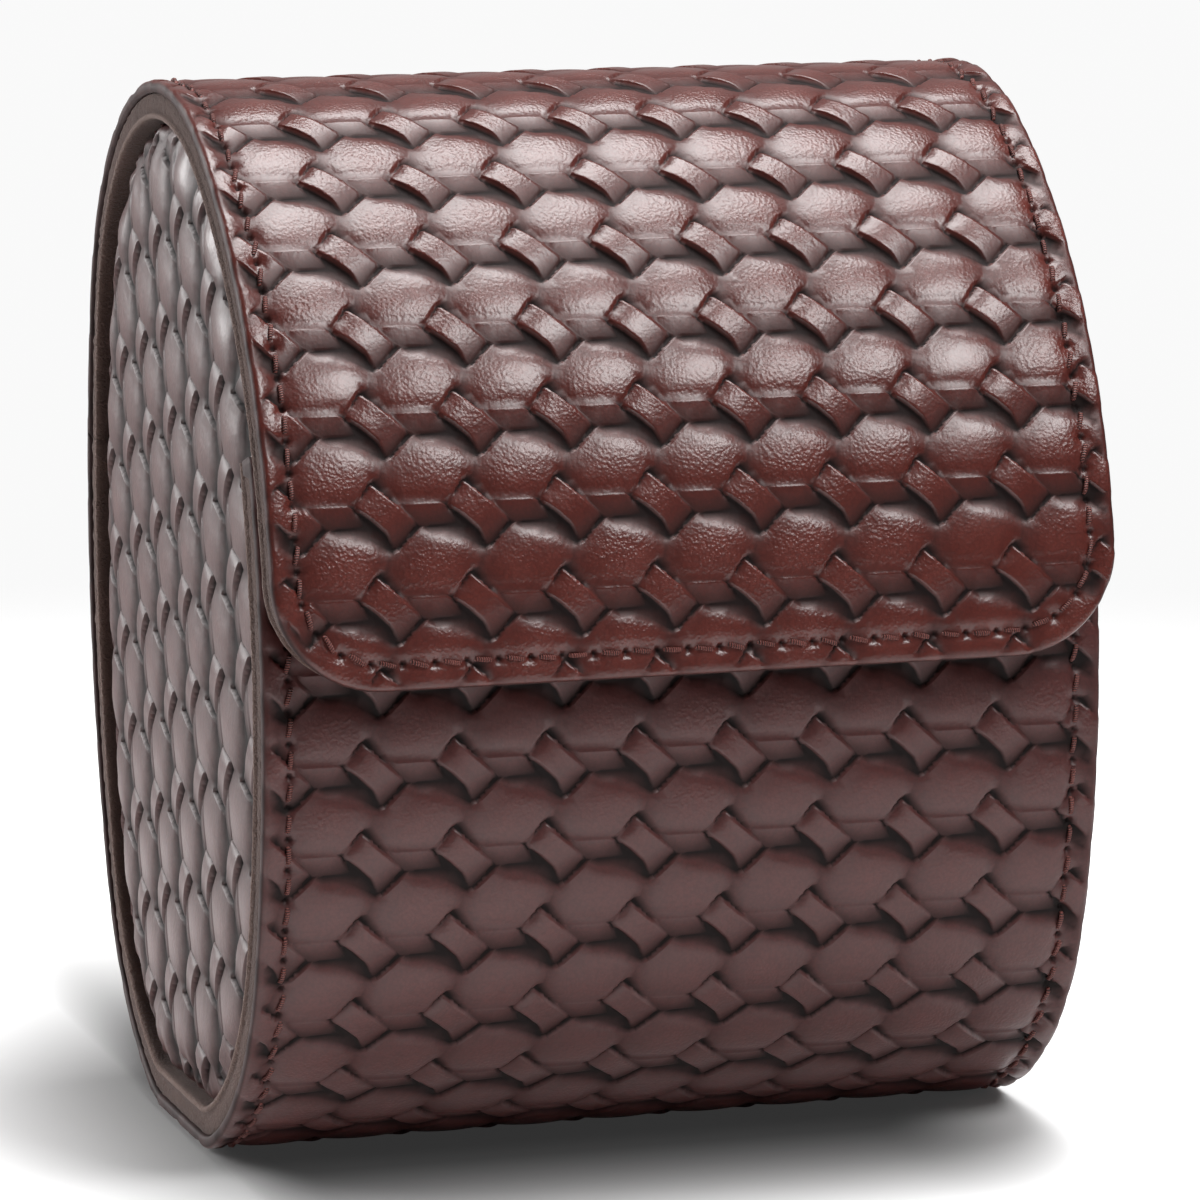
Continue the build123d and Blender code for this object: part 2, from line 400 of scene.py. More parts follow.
EDGES = {
    Tile.STRIP: (
        Edge(((-0.2125, 0.255), (-0.0125, 0.0275)), 0.14, 0.22),
        Edge(((-0.0125, 0.0275), (0.25, 0.275), (0.4375, 0.4625)), 0.05, 0.2, lip=0.09),
        Edge(((0.4375, 0.4625), (0.2, 0.75)), 0.04, 0.3),
        Edge(((0.2, 0.75), (0.125, 0.555), (-0.0375, 0.3925), (-0.2125, 0.255)), 0.1, 0.26),
    ),
    Tile.SCALE: (
        Edge(((0.205, 0.765), (0.2875, 0.7125), (0.5125, 0.49)), 0.03, 0.16, lip=0.09),
        Edge(((0.5125, 0.49), (0.6, 0.525), (0.775, 0.545), (0.9, 0.59), (1.02, 0.66),
              (1.13, 0.725), (1.205, 0.765)), 0.24, 0.9, 0.3),
        Edge(((1.205, 0.765), (1.0, 0.97)), 0.02, 1.2),
        Edge(((1.0, 0.97), (0.775, 1.25)), 0.12, 0.3),
        Edge(((0.775, 1.25), (0.25, 1.25)), 0.2, 1.5, 0.1, meshed=False),
        Edge(((0.25, 1.25), (0.0, 0.97)), 0.22, 1.1),
        Edge(((0.0, 0.97), (0.205, 0.765)), 0.02, 1.2),
    ),
    Tile.THIN: (
        Edge(((0.255, 0.25), (0.75, 0.25)), 0.04, 0.16, 0.12, lip=0.07),
        Edge(((0.75, 0.25), (0.91, 0.475)), 0.06, 0.3),
        Edge(((0.91, 0.475), (0.6, 0.475), (0.5, 0.495)), 0.06, 0.2, lip=0.03),
        Edge(((0.5, 0.495), (0.255, 0.25)), 0.0, 0.3),
    ),
}
FACES = {Tile.STRIP: StripFace(), Tile.SCALE: ScaleFace(), Tile.THIN: ThinFace()}


@dataclass(frozen=True)
class Weave:
    """The woven pattern: a cell with one scale, one slanting strip and one thin strip.

    The last sizes are in mm, except the margin, which is in cells.
    """

    across: float = 8.081 * MM
    along: float = 7.855 * MM
    relief: float = 0.62 * MM
    margin: float = 0.08
    lip_width: float = 0.28
    wall_drop: float = 0.6
    point_gap: float = 0.1
    soft_bevel: float = 0.5

    def height(self, u: Array, v: Array) -> Array:
        """Height of the relief above its floor.

        Args:
            u: Place across the sheet, in cells.
            v: Place along the sheet, in cells.

        Returns:
            Heights in metres.
        """
        cell = np.column_stack([u - np.floor(u), v - np.floor(v)])
        best = np.zeros(len(u))
        for tile in Tile:
            outline = np.array([p for e in EDGES[tile] for p in e.points[:-1]])
            low, high = outline.min(0) - self.margin, outline.max(0) + self.margin
            for step in itertools.product((-1, 0, 1), repeat=2):
                spots = cell + step
                near = ((spots > low) & (spots < high)).all(1)
                if near.any():
                    level = self.tile_height(tile, outline, *spots[near].T)
                    best[near] = np.maximum(best[near], level)
        return best * MM

    def tile_height(self, tile: Tile, outline: Array, u: Array, v: Array) -> Array:
        """Height of one tile with its bevels and walls, in mm, and far below zero off it.

        Args:
            tile: Which tile.
            outline: The tile's corner points.
            u: Place across the sheet, in cells.
            v: Place along the sheet, in cells.

        Returns:
            Heights in mm.
        """
        inside = in_outline(u, v, outline)
        sag, crest = np.zeros(len(u)), np.zeros(len(u))
        nearest = np.full(len(u), FAR)
        edge_drop, wall = np.zeros(len(u)), np.ones(len(u))
        for edge in EDGES[tile]:
            distance = line_distance(u, v, edge.points, self.across / MM, self.along / MM)
            share = np.clip(distance / edge.bevel, 0, 1)
            sag = np.maximum(sag, edge.drop * (1 - np.sqrt(1 - (1 - share) ** 2 * 0.999)))
            if edge.lip:
                crest = np.maximum(crest, edge.lip * bell(distance, self.lip_width))
            closer = distance < nearest
            nearest = np.where(closer, distance, nearest)
            edge_drop = np.where(closer, edge.drop, edge_drop)
            wall = np.where(closer, edge.wall, wall)
        face = FACES[tile].height(u, v) + crest
        return np.where(inside, face - sag, face - edge_drop - nearest / wall * self.wall_drop)

    def cell_points(self, spacing: float, fill: float) -> Array:
        """Mesh points of one cell that follow its edges.

        Args:
            spacing: Distance between points along an edge, in mm.
            fill: Distance between the other points, in mm.

        Returns:
            Points in cell units.
        """
        scale = np.array([self.across, self.along]) / MM
        lines = []
        for edges in EDGES.values():
            for edge in filter(lambda item: item.meshed, edges):
                soft = edge.bevel > self.soft_bevel
                offsets = (0.0,) if soft else (-0.02, edge.wall, -edge.bevel * 0.5, -edge.bevel)
                for offset in offsets:
                    lines.append((abs(offset), offset_line(edge.points, offset, spacing, scale)))
        found: list[Array] = []
        for _, line in sorted(lines, key=lambda item: item[0]):
            for point in line:
                self.keep_clear(found, point, self.point_gap, scale)
        rows = int(round(scale[1] / (fill * ROW_STEP)))
        columns = int(round(scale[0] / fill))
        for row in range(rows):
            for column in range(columns):
                point = np.array([(column + 0.5 * (row % 2)) / columns, (row + 0.5) / rows])
                self.keep_clear(found, point, fill * 0.55, scale)
        return np.array(found)

    @staticmethod
    def keep_clear(found: list[Array], point: Array, gap: float, scale: Array) -> None:
        """Adds a point to the cell where it is clear of those found so far, wrapping round.

        Args:
            found: Points found so far, in cells, which the new one joins.
            point: The new point.
            gap: Distance in mm that it needs.
            scale: Millimetres per cell.
        """
        point = point % 1.0
        if found:
            away = np.abs(np.array(found) - point)
            away = np.minimum(away, 1 - away) * scale
            if np.hypot(*away.T).min() < gap:
                return
        found.append(point)


def bell(distance: Array, width: float) -> Array:
    """Rounded bump of 1 at no distance, which is down to a third at its width."""
    return np.exp(-((distance / width) ** 2))


def in_outline(u: Array, v: Array, outline: Array) -> Array:
    """Tells which points lie inside a closed outline.

    Args:
        u: First coordinates.
        v: Second coordinates.
        outline: Corner points of the outline.

    Returns:
        An array of booleans.
    """
    inside = np.zeros(len(u), bool)
    for (au, av), (bu, bv) in zip(outline, np.roll(outline, -1, 0)):
        if av == bv:
            continue
        crosses = (av > v) != (bv > v)
        inside ^= crosses & (u < (bu - au) * (v - av) / (bv - av) + au)
    return inside


def line_distance(
    u: Array, v: Array, points: Sequence[Sequence[float]], su: float = 1.0, sv: float = 1.0
) -> Array:
    """Distance from points to a line of segments.

    Args:
        u: First coordinates.
        v: Second coordinates.
        points: Points of the line.
        su: Scale of the first coordinate.
        sv: Scale of the second coordinate.

    Returns:
        Distances in the scaled units.
    """
    best = np.full(len(u), FAR**2)
    pu, pv = u * su, v * sv
    for (au, av), (bu, bv) in zip(points[:-1], points[1:]):
        ax, ay, dx, dy = au * su, av * sv, (bu - au) * su, (bv - av) * sv
        t = np.clip(((pu - ax) * dx + (pv - ay) * dy) / max(dx * dx + dy * dy, 1e-18), 0, 1)
        best = np.minimum(best, (pu - ax - t * dx) ** 2 + (pv - ay - t * dy) ** 2)
    return np.sqrt(best)


def offset_line(
    points: Sequence[Sequence[float]], offset: float, spacing: float, scale: Array
) -> Array:
    """Points at an even spacing along a line, moved sideways out of the tile.

    Args:
        points: The line, in cell units, with the tile on its right.
        offset: Sideways distance in mm, positive out of the tile.
        spacing: Distance between points in mm.
        scale: Millimetres per cell unit.

    Returns:
        Points in cell units.
    """
    line = np.array(points) * scale
    step = np.diff(line, axis=0)
    length = np.hypot(*step.T)
    total = np.concatenate([[0], np.cumsum(length)])
    count = max(2, int(round(total[-1] / spacing)))
    at = (np.arange(count) + 0.5) / count * total[-1]
    out = np.zeros((count, 2))
    for i, distance in enumerate(at):
        k = min(int(np.searchsorted(total, distance, side="right")) - 1, len(step) - 1)
        unit = step[k] / length[k]
        out[i] = line[k] + unit * (distance - total[k]) + np.array([unit[1], -unit[0]]) * offset
    return out / scale


# ---- sheets and shells ----
@dataclass
class Face:
    """A triangulated face of a sheet: its flat points, the boundary's first, and heights."""

    flat: Array
    tris: Array
    height: Array


@dataclass
class Outline:
    """Closed boundary of a flat sheet, counter-clockwise, with outward normals.

    Rounding is 0 on a stretch that is cut square, such as the join across the back, and depth
    is the sheet's thickness there.
    """

    points: Array
    normal: Array
    rounding: Array
    depth: Array

    def inset(self, distance: float) -> Array:
        """Boundary points moved inwards by a distance where the boundary is rounded."""
        return self.points - self.normal * (distance * self.rounding)[:, None]

    def with_depth(self, depth: Array | float) -> "Outline":
        """The same boundary with another thickness."""
        full = np.broadcast_to(np.asarray(depth, float), (len(self.points),)).copy()
        return Outline(self.points, self.normal, self.rounding, full)


def outward_normals(points: Array) -> Array:
    """Outward unit normals of a loop at its points.

    Args:
        points: The loop, counter-clockwise.

    Returns:
        The normals.
    """
    chord = np.roll(points, -1, 0) - np.roll(points, 1, 0)
    chord = chord / np.maximum(np.hypot(*chord.T), 1e-12)[:, None]
    return np.stack([chord[:, 1], -chord[:, 0]], -1)


def resample(points: Array, spacing: float, closed: bool = True) -> Array:
    """Points at an even spacing along a line.

    Args:
        points: The line.
        spacing: Wanted distance between points.
        closed: Whether the line runs back to its start.

    Returns:
        The points, without a repeat of the start on a closed line.
    """
    line = np.vstack([points, points[:1]]) if closed else np.asarray(points, float)
    total = np.concatenate([[0], np.cumsum(np.hypot(*np.diff(line, axis=0).T))])
    count = max(3, int(round(total[-1] / spacing)))
    at = np.linspace(0, total[-1], count + 1)
    out = np.column_stack([np.interp(at, total, line[:, k]) for k in range(line.shape[1])])
    return out[:-1] if closed else out


def triangulate(loop: Array, inner: Array) -> Cells:
    """Fills a loop with triangles through its inner points.

    Args:
        loop: Boundary points, in order.
        inner: Points inside the boundary.

    Returns:
        All points, the loop's first, and the triangles.
    """
    points = np.vstack([loop, inner]) if len(inner) else loop
    count = len(loop)
    edges = [(i, (i + 1) % count) for i in range(count)]
    verts, _, faces, origins, _, _ = delaunay_2d_cdt(
        [Vector(p) for p in points], edges, [], 0, 1e-9
    )
    out = np.array([tuple(p) for p in verts])
    tris = np.array([f for f in faces if len(f) == 3])
    order = np.full(len(out), -1)
    taken = set()
    for new, old in enumerate(origins):
        ring = [k for k in old if k < count]
        if ring:
            order[new] = ring[0]
            taken.add(ring[0])
    if len(taken) != count:
        raise RuntimeError("the boundary lost points")
    rest = np.flatnonzero(order < 0)
    order[rest] = count + np.arange(len(rest))
    placed = np.zeros_like(out)
    placed[order] = out
    placed[:count] = loop
    tris = order[tris]
    middle = placed[tris].mean(1)
    return placed, tris[in_outline(*middle.T, loop)]


def grid_over(loop: Array, spacing: float) -> Array:
    """Evenly spread points over the rectangle round a loop.

    Args:
        loop: The loop.
        spacing: Distance between points.

    Returns:
        The points.
    """
    (left, low), (right, high) = loop.min(0), loop.max(0)
    columns = np.arange(left, right, spacing)
    rows = np.arange(low, high, spacing * ROW_STEP)
    lines = [
        np.column_stack([columns + (k % 2) * spacing / 2, np.full(len(columns), row)])
        for k, row in enumerate(rows)
    ]
    return np.vstack(lines)


def inside_by(points: Array, loop: Array, gap: float) -> Array:
    """Those of the points that lie inside a loop and at least a gap away from it."""
    keep = points[in_outline(*points.T, loop)]
    return keep[line_distance(*keep.T, np.vstack([loop, loop[:1]])) > gap]


def filled(loop: Array, grid: Array, gap: float, height: float) -> Face:
    """A level face inside a loop, meshed by the points of a grid that are a gap inside it."""
    flat, tris = triangulate(loop, inside_by(grid, loop, gap))
    return Face(flat, tris, np.full(len(flat), height))


def store(mesh: bpy.types.Mesh, key: str, values: Array) -> None:
    """Stores a value for each vertex of a mesh under a name."""
    mesh.attributes.new(key, "FLOAT", "POINT").data.foreach_set("value", values.astype("f"))


def make_object(name: str, verts: Array, faces: Faces, values: Values, flat: Array) -> Piece:
    """Makes a smooth-shaded mesh object with its attributes and flat map.

    Args:
        name: Name of the piece.
        verts: Vertex positions in metres.
        faces: Vertex numbers of each face.
        values: Attribute values by name, one per vertex.
        flat: Flat coordinates, which become the UV map.

    Returns:
        The object.
    """
    mesh = bpy.data.meshes.new(name)
    mesh.from_pydata(verts.tolist(), [], [list(map(int, f)) for f in faces])
    mesh.validate()
    mesh.update()
    for key, value in values.items():
        store(mesh, key, value)
    corner = np.zeros(len(mesh.loops), np.int32)
    mesh.loops.foreach_get("vertex_index", corner)
    uv = mesh.uv_layers.new(name="flat")
    uv.data.foreach_set("uv", flat[corner].astype(np.float32).ravel())
    mesh.polygons.foreach_set("use_smooth", np.ones(len(mesh.polygons), bool))
    piece = bpy.data.objects.new(name, mesh)
    bpy.context.collection.objects.link(piece)
    return piece


def turned_out(verts: Array, faces: Faces) -> Faces:
    """Turns the faces of a closed mesh outwards.

    Args:
        verts: The positions.
        faces: Vertex numbers of each face.

    Returns:
        The faces, reversed where the volume was negative.
    """
    volume = 0.0
    for face in faces:
        for a, b in zip(face[1:-1], face[2:]):
            volume += float(np.dot(verts[face[0]], np.cross(verts[a], verts[b])))
    return faces if volume > 0 else [list(reversed(f)) for f in faces]


def shell(
    name: str, rings: Sequence[Cells], front: Face, back: Face, place: Placer, values: Values
) -> Piece:
    """Makes a closed shell from a front face, rings of vertices round it and a back face.

    Args:
        name: Name of the piece.
        rings: Flat points and heights of each ring, the front's boundary first.
        front: The front face, whose boundary is the first ring.
        back: The back face, whose boundary is the last ring.
        place: Turns flat points and heights into positions.
        values: Attribute values for the front's points, boundary first, by name.

    Returns:
        The object.
    """
    count = len(rings[0][0])
    extra = len(front.flat) - count
    base = count * len(rings)
    flat = np.vstack([ring[0] for ring in rings] + [front.flat[count:], back.flat[count:]])
    heights = [ring[1] for ring in rings] + [front.height[count:], back.height[count:]]
    last = (len(rings) - 1) * count
    faces: Faces = np.where(
        front.tris < count, front.tris, front.tris - count + base
    ).tolist()
    faces += np.where(
        back.tris < count, back.tris + last, back.tris - count + base + extra
    )[:, ::-1].tolist()
    for ring in range(len(rings) - 1):
        for i in range(count):
            j = (i + 1) % count
            a, b = ring * count, (ring + 1) * count
            faces.append((a + j, a + i, b + i, b + j))
    verts = place(flat, np.concatenate(heights))
    faces = turned_out(verts, faces)
    spread = {}
    for key, value in values.items():
        full = np.zeros(len(verts))
        for ring in range(len(rings)):
            share = 1.0 if ring < 2 else SIDE_SHARE
            full[ring * count : (ring + 1) * count] = value[:count] * share
        full[base : base + extra] = value[count:]
        spread[key] = full
    return make_object(name, verts, faces, spread, flat)


def direction(start: Array, end: Array) -> tuple[Array, Array, float]:
    """Unit vectors along and to the left of a flat line, and its length.

    Args:
        start: Start of the line.
        end: End of the line.

    Returns:
        The two vectors and the length.
    """
    length = float(np.hypot(*(end - start)))
    unit = (end - start) / length
    return unit, np.array([-unit[1], unit[0]]), length


def rounded(radius: float, turn: float) -> Pair:
    """How far in and how far down a rounded edge is after a turn, in degrees, from flat."""
    angle = math.radians(turn)
    return radius * (1 - math.sin(angle)), radius * (1 - math.cos(angle))


def nearest_of(points: Array, marks: Array) -> Array:
    """Distance from each point to the nearest of some marks."""
    return np.min([np.hypot(*(points - mark).T) for mark in marks], axis=0)


def smoothstep(value: Array) -> Array:
    """Smooth rise from 0 to 1."""
    t = np.clip(value, 0, 1)
    return t * t * (3 - 2 * t)


@dataclass(frozen=True)
class Lattice:
    """Where the embossing's cells lie on the strip."""

    weave: Weave
    first_row: float = 24.517 * MM
    first_column: float = -28.914 * MM
    even_from: float = 75.0 * MM
    even_to: float = 210.0 * MM
    flap_row: float = 218.873 * MM
    rows_between: int = 25
    skew: float = 0.536 * MM

    def cells(self, flat: Array) -> Cells:
        """Turns flat strip points into cell coordinates.

        Args:
            flat: Points (x, distance from the hem).

        Returns:
            The places across and along, in cells.
        """
        along = flat[:, 1]
        before = (self.even_from - self.first_row) / self.weave.along
        after = self.rows_between + (self.even_to - self.flap_row) / self.weave.along
        share = (along - self.even_from) / (self.even_to - self.even_from)
        between = before + share * (after - before)
        v = np.where(along < self.even_from, (along - self.first_row) / self.weave.along, between)
        v = np.where(
            along > self.even_to, self.rows_between + (along - self.flap_row) / self.weave.along, v
        )
        u = (flat[:, 0] - self.first_column - self.skew * smoothstep(share)) / self.weave.across
        return u, v

    def along_of(self, v: Array) -> Array:
        """Distances along the strip of places given in cells.

        Args:
            v: Places along the strip, in cells.

        Returns:
            The distances.
        """
        table = np.linspace(-10 * MM, 300 * MM, 3101)
        _, rows = self.cells(np.column_stack([np.zeros(len(table)), table]))
        return np.interp(v, rows, table)

    def flat_of(self, u: Array, v: Array) -> Array:
        """Flat strip points of cell coordinates.

        Args:
            u: Places across the strip, in cells.
            v: Places along the strip, in cells.

        Returns:
            The points.
        """
        along = self.along_of(v)
        share = smoothstep((along - self.even_from) / (self.even_to - self.even_from))
        x = u * self.weave.across + self.first_column + self.skew * share
        return np.column_stack([x, along])


@dataclass(frozen=True)
class StitchLine:
    """A sewn line: its flat points, and the pitch and place of its stitches."""

    points: Array
    pitch: float = 2.78 * MM
    slant: float = 0.12

    def holes(self) -> Array:
        """Needle holes along the line."""
        return resample(self.points, self.pitch, closed=False)


@dataclass(frozen=True)
class EmbossedLeather:
    """An embossed sheet of leather: relief, channels for the stitches, and rounded edges.

    The mesh's spacing along tiles, its fill between them, and the rings round a hole are in mm.
    """

    lattice: "Lattice | EndLattice"
    stitches: Sequence[StitchLine] = ()
    spacing: float = 0.55
    fill: float = 0.8
    edge_gap: float = 0.16 * MM
    hole_gap: float = 0.62 * MM
    hole_rings: tuple[float, ...] = (0.0, 0.24, 0.48)
    hole_sides: int = 6
    hole_radius: float = 0.34 * MM
    hole_depth: float = 0.5 * MM
    hole_reach: float = 1.2 * MM
    channel_width: float = 0.62 * MM
    channel_depth: float = 0.27 * MM
    flat_rim: float = 0.3 * MM
    rim_rise: float = 1.6 * MM
    rubbed_rim: float = 1.3 * MM
    rounding: float = 0.5 * MM
    under_rounding: float = 0.3 * MM

    def inner_points(self, loop: Array) -> Array:
        """Mesh points of the sheet's face: the cells' points, and rings round needle holes.

        Args:
            loop: The face's boundary.

        Returns:
            The points.
        """
        u, v = self.lattice.cells(loop)
        cell = self.lattice.weave.cell_points(self.spacing, self.fill)
        columns = np.arange(math.floor(u.min()) - 1, math.ceil(u.max()) + 2)
        rows = np.arange(math.floor(v.min()) - 1, math.ceil(v.max()) + 2)
        corner = np.array([(c, r) for c in columns for r in rows], float)
        every = (cell[None] + corner[:, None]).reshape(-1, 2)
        points = inside_by(self.lattice.flat_of(*every.T), loop, self.edge_gap)
        turn = np.arange(self.hole_sides) * math.pi / 3
        ring = np.column_stack([np.cos(turn), np.sin(turn)])
        for line in self.stitches:
            holes = line.holes()
            points = points[nearest_of(points, holes) > self.hole_gap]
            for reach in self.hole_rings:
                spots = ring if reach else ring[:1]
                points = np.vstack([points] + [holes + spot * reach * MM for spot in spots])
        return points

    def height(self, flat: Array, edge: Array, pierced: bool = True) -> Cells:
        """Height of the leather's face, at most 0, and its relief from 0 to 1.

        Args:
            flat: Flat points.
            edge: Distance of each point from the sheet's rounded edge.
            pierced: Whether the needle holes are in it.

        Returns:
            The heights and the relief.
        """
        weave = self.lattice.weave
        relief = weave.height(*self.lattice.cells(flat))
        flatten = 0.3 + 0.7 * smoothstep((edge - self.flat_rim) / self.rim_rise)
        sunk = (weave.relief - relief) * flatten
        for line in self.stitches:
            away = line_distance(*flat.T, line.points)
            near = bell(away, self.channel_width)
            sunk = sunk * (1 - 0.5 * near) + self.channel_depth * near
            if not pierced:
                continue
            hole = np.full(len(flat), FAR)
            close = away < self.hole_reach
            hole[close] = nearest_of(flat[close], line.holes())
            pit = bell(hole, self.hole_radius)
            sunk += self.hole_depth * pit
            # The needle holes' low relief gives them the painted shade of the grooves.
            relief = relief * (1 - pit)
        rim = 1 - smoothstep(edge / self.rubbed_rim)
        # Near the rounded edge the relief value is held at 0.7 or more, which keeps the painted
        # shade of the grooves off the rim.
        return -sunk, np.maximum(relief / weave.relief, 0.7 * rim)

    def level(self, spots: Array) -> Array:
        """Height of the unpierced face at points well inside the sheet."""
        return self.height(spots, np.full(len(spots), 2 * MM), pierced=False)[0]

    def edge_distance(self, flat: Array, outline: Outline) -> Array:
        """Distance of the face's points from the parts of the boundary that are rounded.

        Args:
            flat: Flat points.
            outline: The sheet's boundary.

        Returns:
            The distances, exact within a few millimetres of the boundary.
        """
        away = np.full(len(flat), 1.0)
        line = np.vstack([outline.points, outline.points[:1]])
        live = np.append(outline.rounding, outline.rounding[0]) > 0
        for k in np.flatnonzero(live[:-1] & live[1:]):
            near = np.abs(flat - line[k]).max(1) < 4 * MM
            if near.any():
                reach = line_distance(*flat[near].T, line[k : k + 2])
                away[near] = np.minimum(away[near], reach)
        return away

    def build(self, name: str, outline: Outline, place: Placer) -> Piece:
        """Builds the sheet as a closed piece.

        Args:
            name: Name of the piece.
            outline: The sheet's boundary.
            place: Turns flat points and heights into positions.

        Returns:
            The object.
        """
        top = outline.inset(self.rounding)
        flat, tris = triangulate(top, self.inner_points(top))
        height, relief = self.height(flat, self.edge_distance(flat, outline))
        rim, depth = height[: len(top)], -outline.depth
        rings = [(top, rim)]
        for turn in (30, 60, 90):
            out, drop = rounded(self.rounding, turn)
            rings.append((outline.inset(out), rim - drop))
        for turn in (90, 45, 0):
            out, rise = rounded(self.under_rounding, turn)
            rings.append((outline.inset(out), depth + rise))
        last = rings[-1][0]
        back = filled(last, grid_over(last, 4 * MM), 1.0 * MM, float(depth.max()))
        return shell(name, rings, Face(flat, tris, height), back, place, {"relief": relief})


# ---- the strip that makes the roll: its outlines ----
@dataclass(frozen=True)
class Strip:
    """Outlines and sewn lines of the leather strip, split where the flap's piece begins."""

    path: StripPath
    lattice: Lattice
    half_width: float
    corner_radius: float = 9.5 * MM
    stitch_inset: float = 2.3 * MM
    first_hole: float = 2.4 * MM
    pitch: float = 2.78 * MM
    join_row: float = 17.0
    join_steps: tuple[Pair, ...] = ((-0.2125, 0.262), (-0.0125, 0.0075), (0.25, 0.262))
    spacing: float = 0.6 * MM
    leather: float = 1.2 * MM
    hem_depth: float = 3.0 * MM

    def join(self, straight: bool = False) -> Array:
        """The cut across the back, from left to right.

        Args:
            straight: True for the linings; the leather is cut along its tiles' edges.

        Returns:
            Points of the cut.
        """
        cells = [(c + u, self.join_row + v) for c in range(-3, 14) for u, v in self.join_steps]
        cells = np.array(cells)
        line = self.lattice.flat_of(*cells.T)
        inside = np.abs(line[:, 0]) < self.half_width - 0.8 * MM
        sides = np.array([-self.half_width, self.half_width])
        ends = np.column_stack([sides, np.full(2, line[:, 1].mean())])
        line = ends if straight else np.vstack([ends[:1], line[inside], ends[1:]])
        parts = []
        for a, b in zip(line[:-1], line[1:]):
            count = max(1, int(round(np.hypot(*(b - a)) / (0.5 * MM))))
            parts.append(a + (b - a) * (np.arange(count) / count)[:, None])
        return np.vstack(parts + [line[-1:]])

    def join_middle(self) -> float:
        """Distance from the hem to the cut, on average."""
        return float(self.join(straight=True)[0, 1])

    def case_outline(self, straight: bool = False) -> Outline:
        """Boundary of the case's leather or lining, from the hem round to the cut.

        Args:
            straight: True for the lining.

        Returns:
            The boundary.
        """
        half, join = self.half_width, self.join(straight)
        low_left, low_right = np.array([-half, 0.0]), np.array([half, 0.0])
        hem, right, left = (
            resample(np.array(line), self.spacing, closed=False)
            for line in ((low_left, low_right), (low_right, join[-1]), (join[0], low_left))
        )
        return self.outline([(hem, 1), (right, 1), (join[::-1], 0), (left, 1)])

    def flap_outline(self, straight: bool = False) -> Outline:
        """Boundary of the flap's leather or lining, from the cut over the crown to its edge.

        Args:
            straight: True for the lining.

        Returns:
            The boundary.
        """
        join = self.join(straight)
        edge = np.vstack([join[-1:], self.flap_end(0.0), join[:1]])
        return self.outline([(join, 0), (resample(edge, self.spacing, closed=False), 1)])

    def flap_end(self, inset: float) -> Array:
        """Line of the flap's rounded end, from right to left.

        Args:
            inset: How far inside the leather's edge it runs.

        Returns:
            Points of the line.
        """
        half, end = self.half_width - inset, self.path.length - inset
        radius = self.corner_radius - inset
        turn = np.linspace(0, math.pi / 2, 13)
        x, along = half - radius + radius * np.cos(turn), end - radius + radius * np.sin(turn)
        right = np.column_stack([x, along])
        return np.vstack([right, right[::-1] * np.array([-1, 1])])

    def outline(self, stretches: Sequence[tuple[Array, int]]) -> Outline:
        """Joins stretches of boundary into one loop.

        Args:
            stretches: Points of each stretch with 1 where it is rounded and 0 where it is cut.

        Returns:
            The boundary.
        """
        points = np.vstack([line[:-1] for line, _ in stretches])
        rounding = np.concatenate([np.full(len(line) - 1, float(r)) for line, r in stretches])
        normal = outward_normals(points)
        at_side = np.abs(np.abs(points[:, 0]) - self.half_width) < 1e-9
        cut_near = (np.roll(rounding, 1) == 0) | (np.roll(rounding, -1) == 0) | (rounding == 0)
        ends = at_side & cut_near
        normal[ends] = np.column_stack([np.sign(points[ends, 0]), np.zeros(ends.sum())])
        rounding[ends] = 1.0
        depth = np.where(points[:, 1] < self.leather, self.hem_depth, self.leather)
        return Outline(points, normal, rounding, depth)

    def side_stitches(self) -> list[StitchLine]:
        """Gives the two sewn lines of the case.

        Returns:
            The lines, left and right.
        """
        x = self.half_width - self.stitch_inset
        top = self.join_middle() - self.pitch / 2
        return [
            StitchLine(np.array([[side * x, self.first_hole], [side * x, top]]), self.pitch)
            for side in (-1, 1)
        ]

    def flap_stitches(self) -> list[StitchLine]:
        """Gives the sewn line of the flap: down one side, round the edge and up the other.

        Returns:
            The line, on its own in a list.
        """
        x = self.half_width - self.stitch_inset
        start = self.join_middle() + self.pitch / 2
        line = np.vstack([[[x, start]], self.flap_end(self.stitch_inset), [[-x, start]]])
        return [StitchLine(line, self.pitch)]


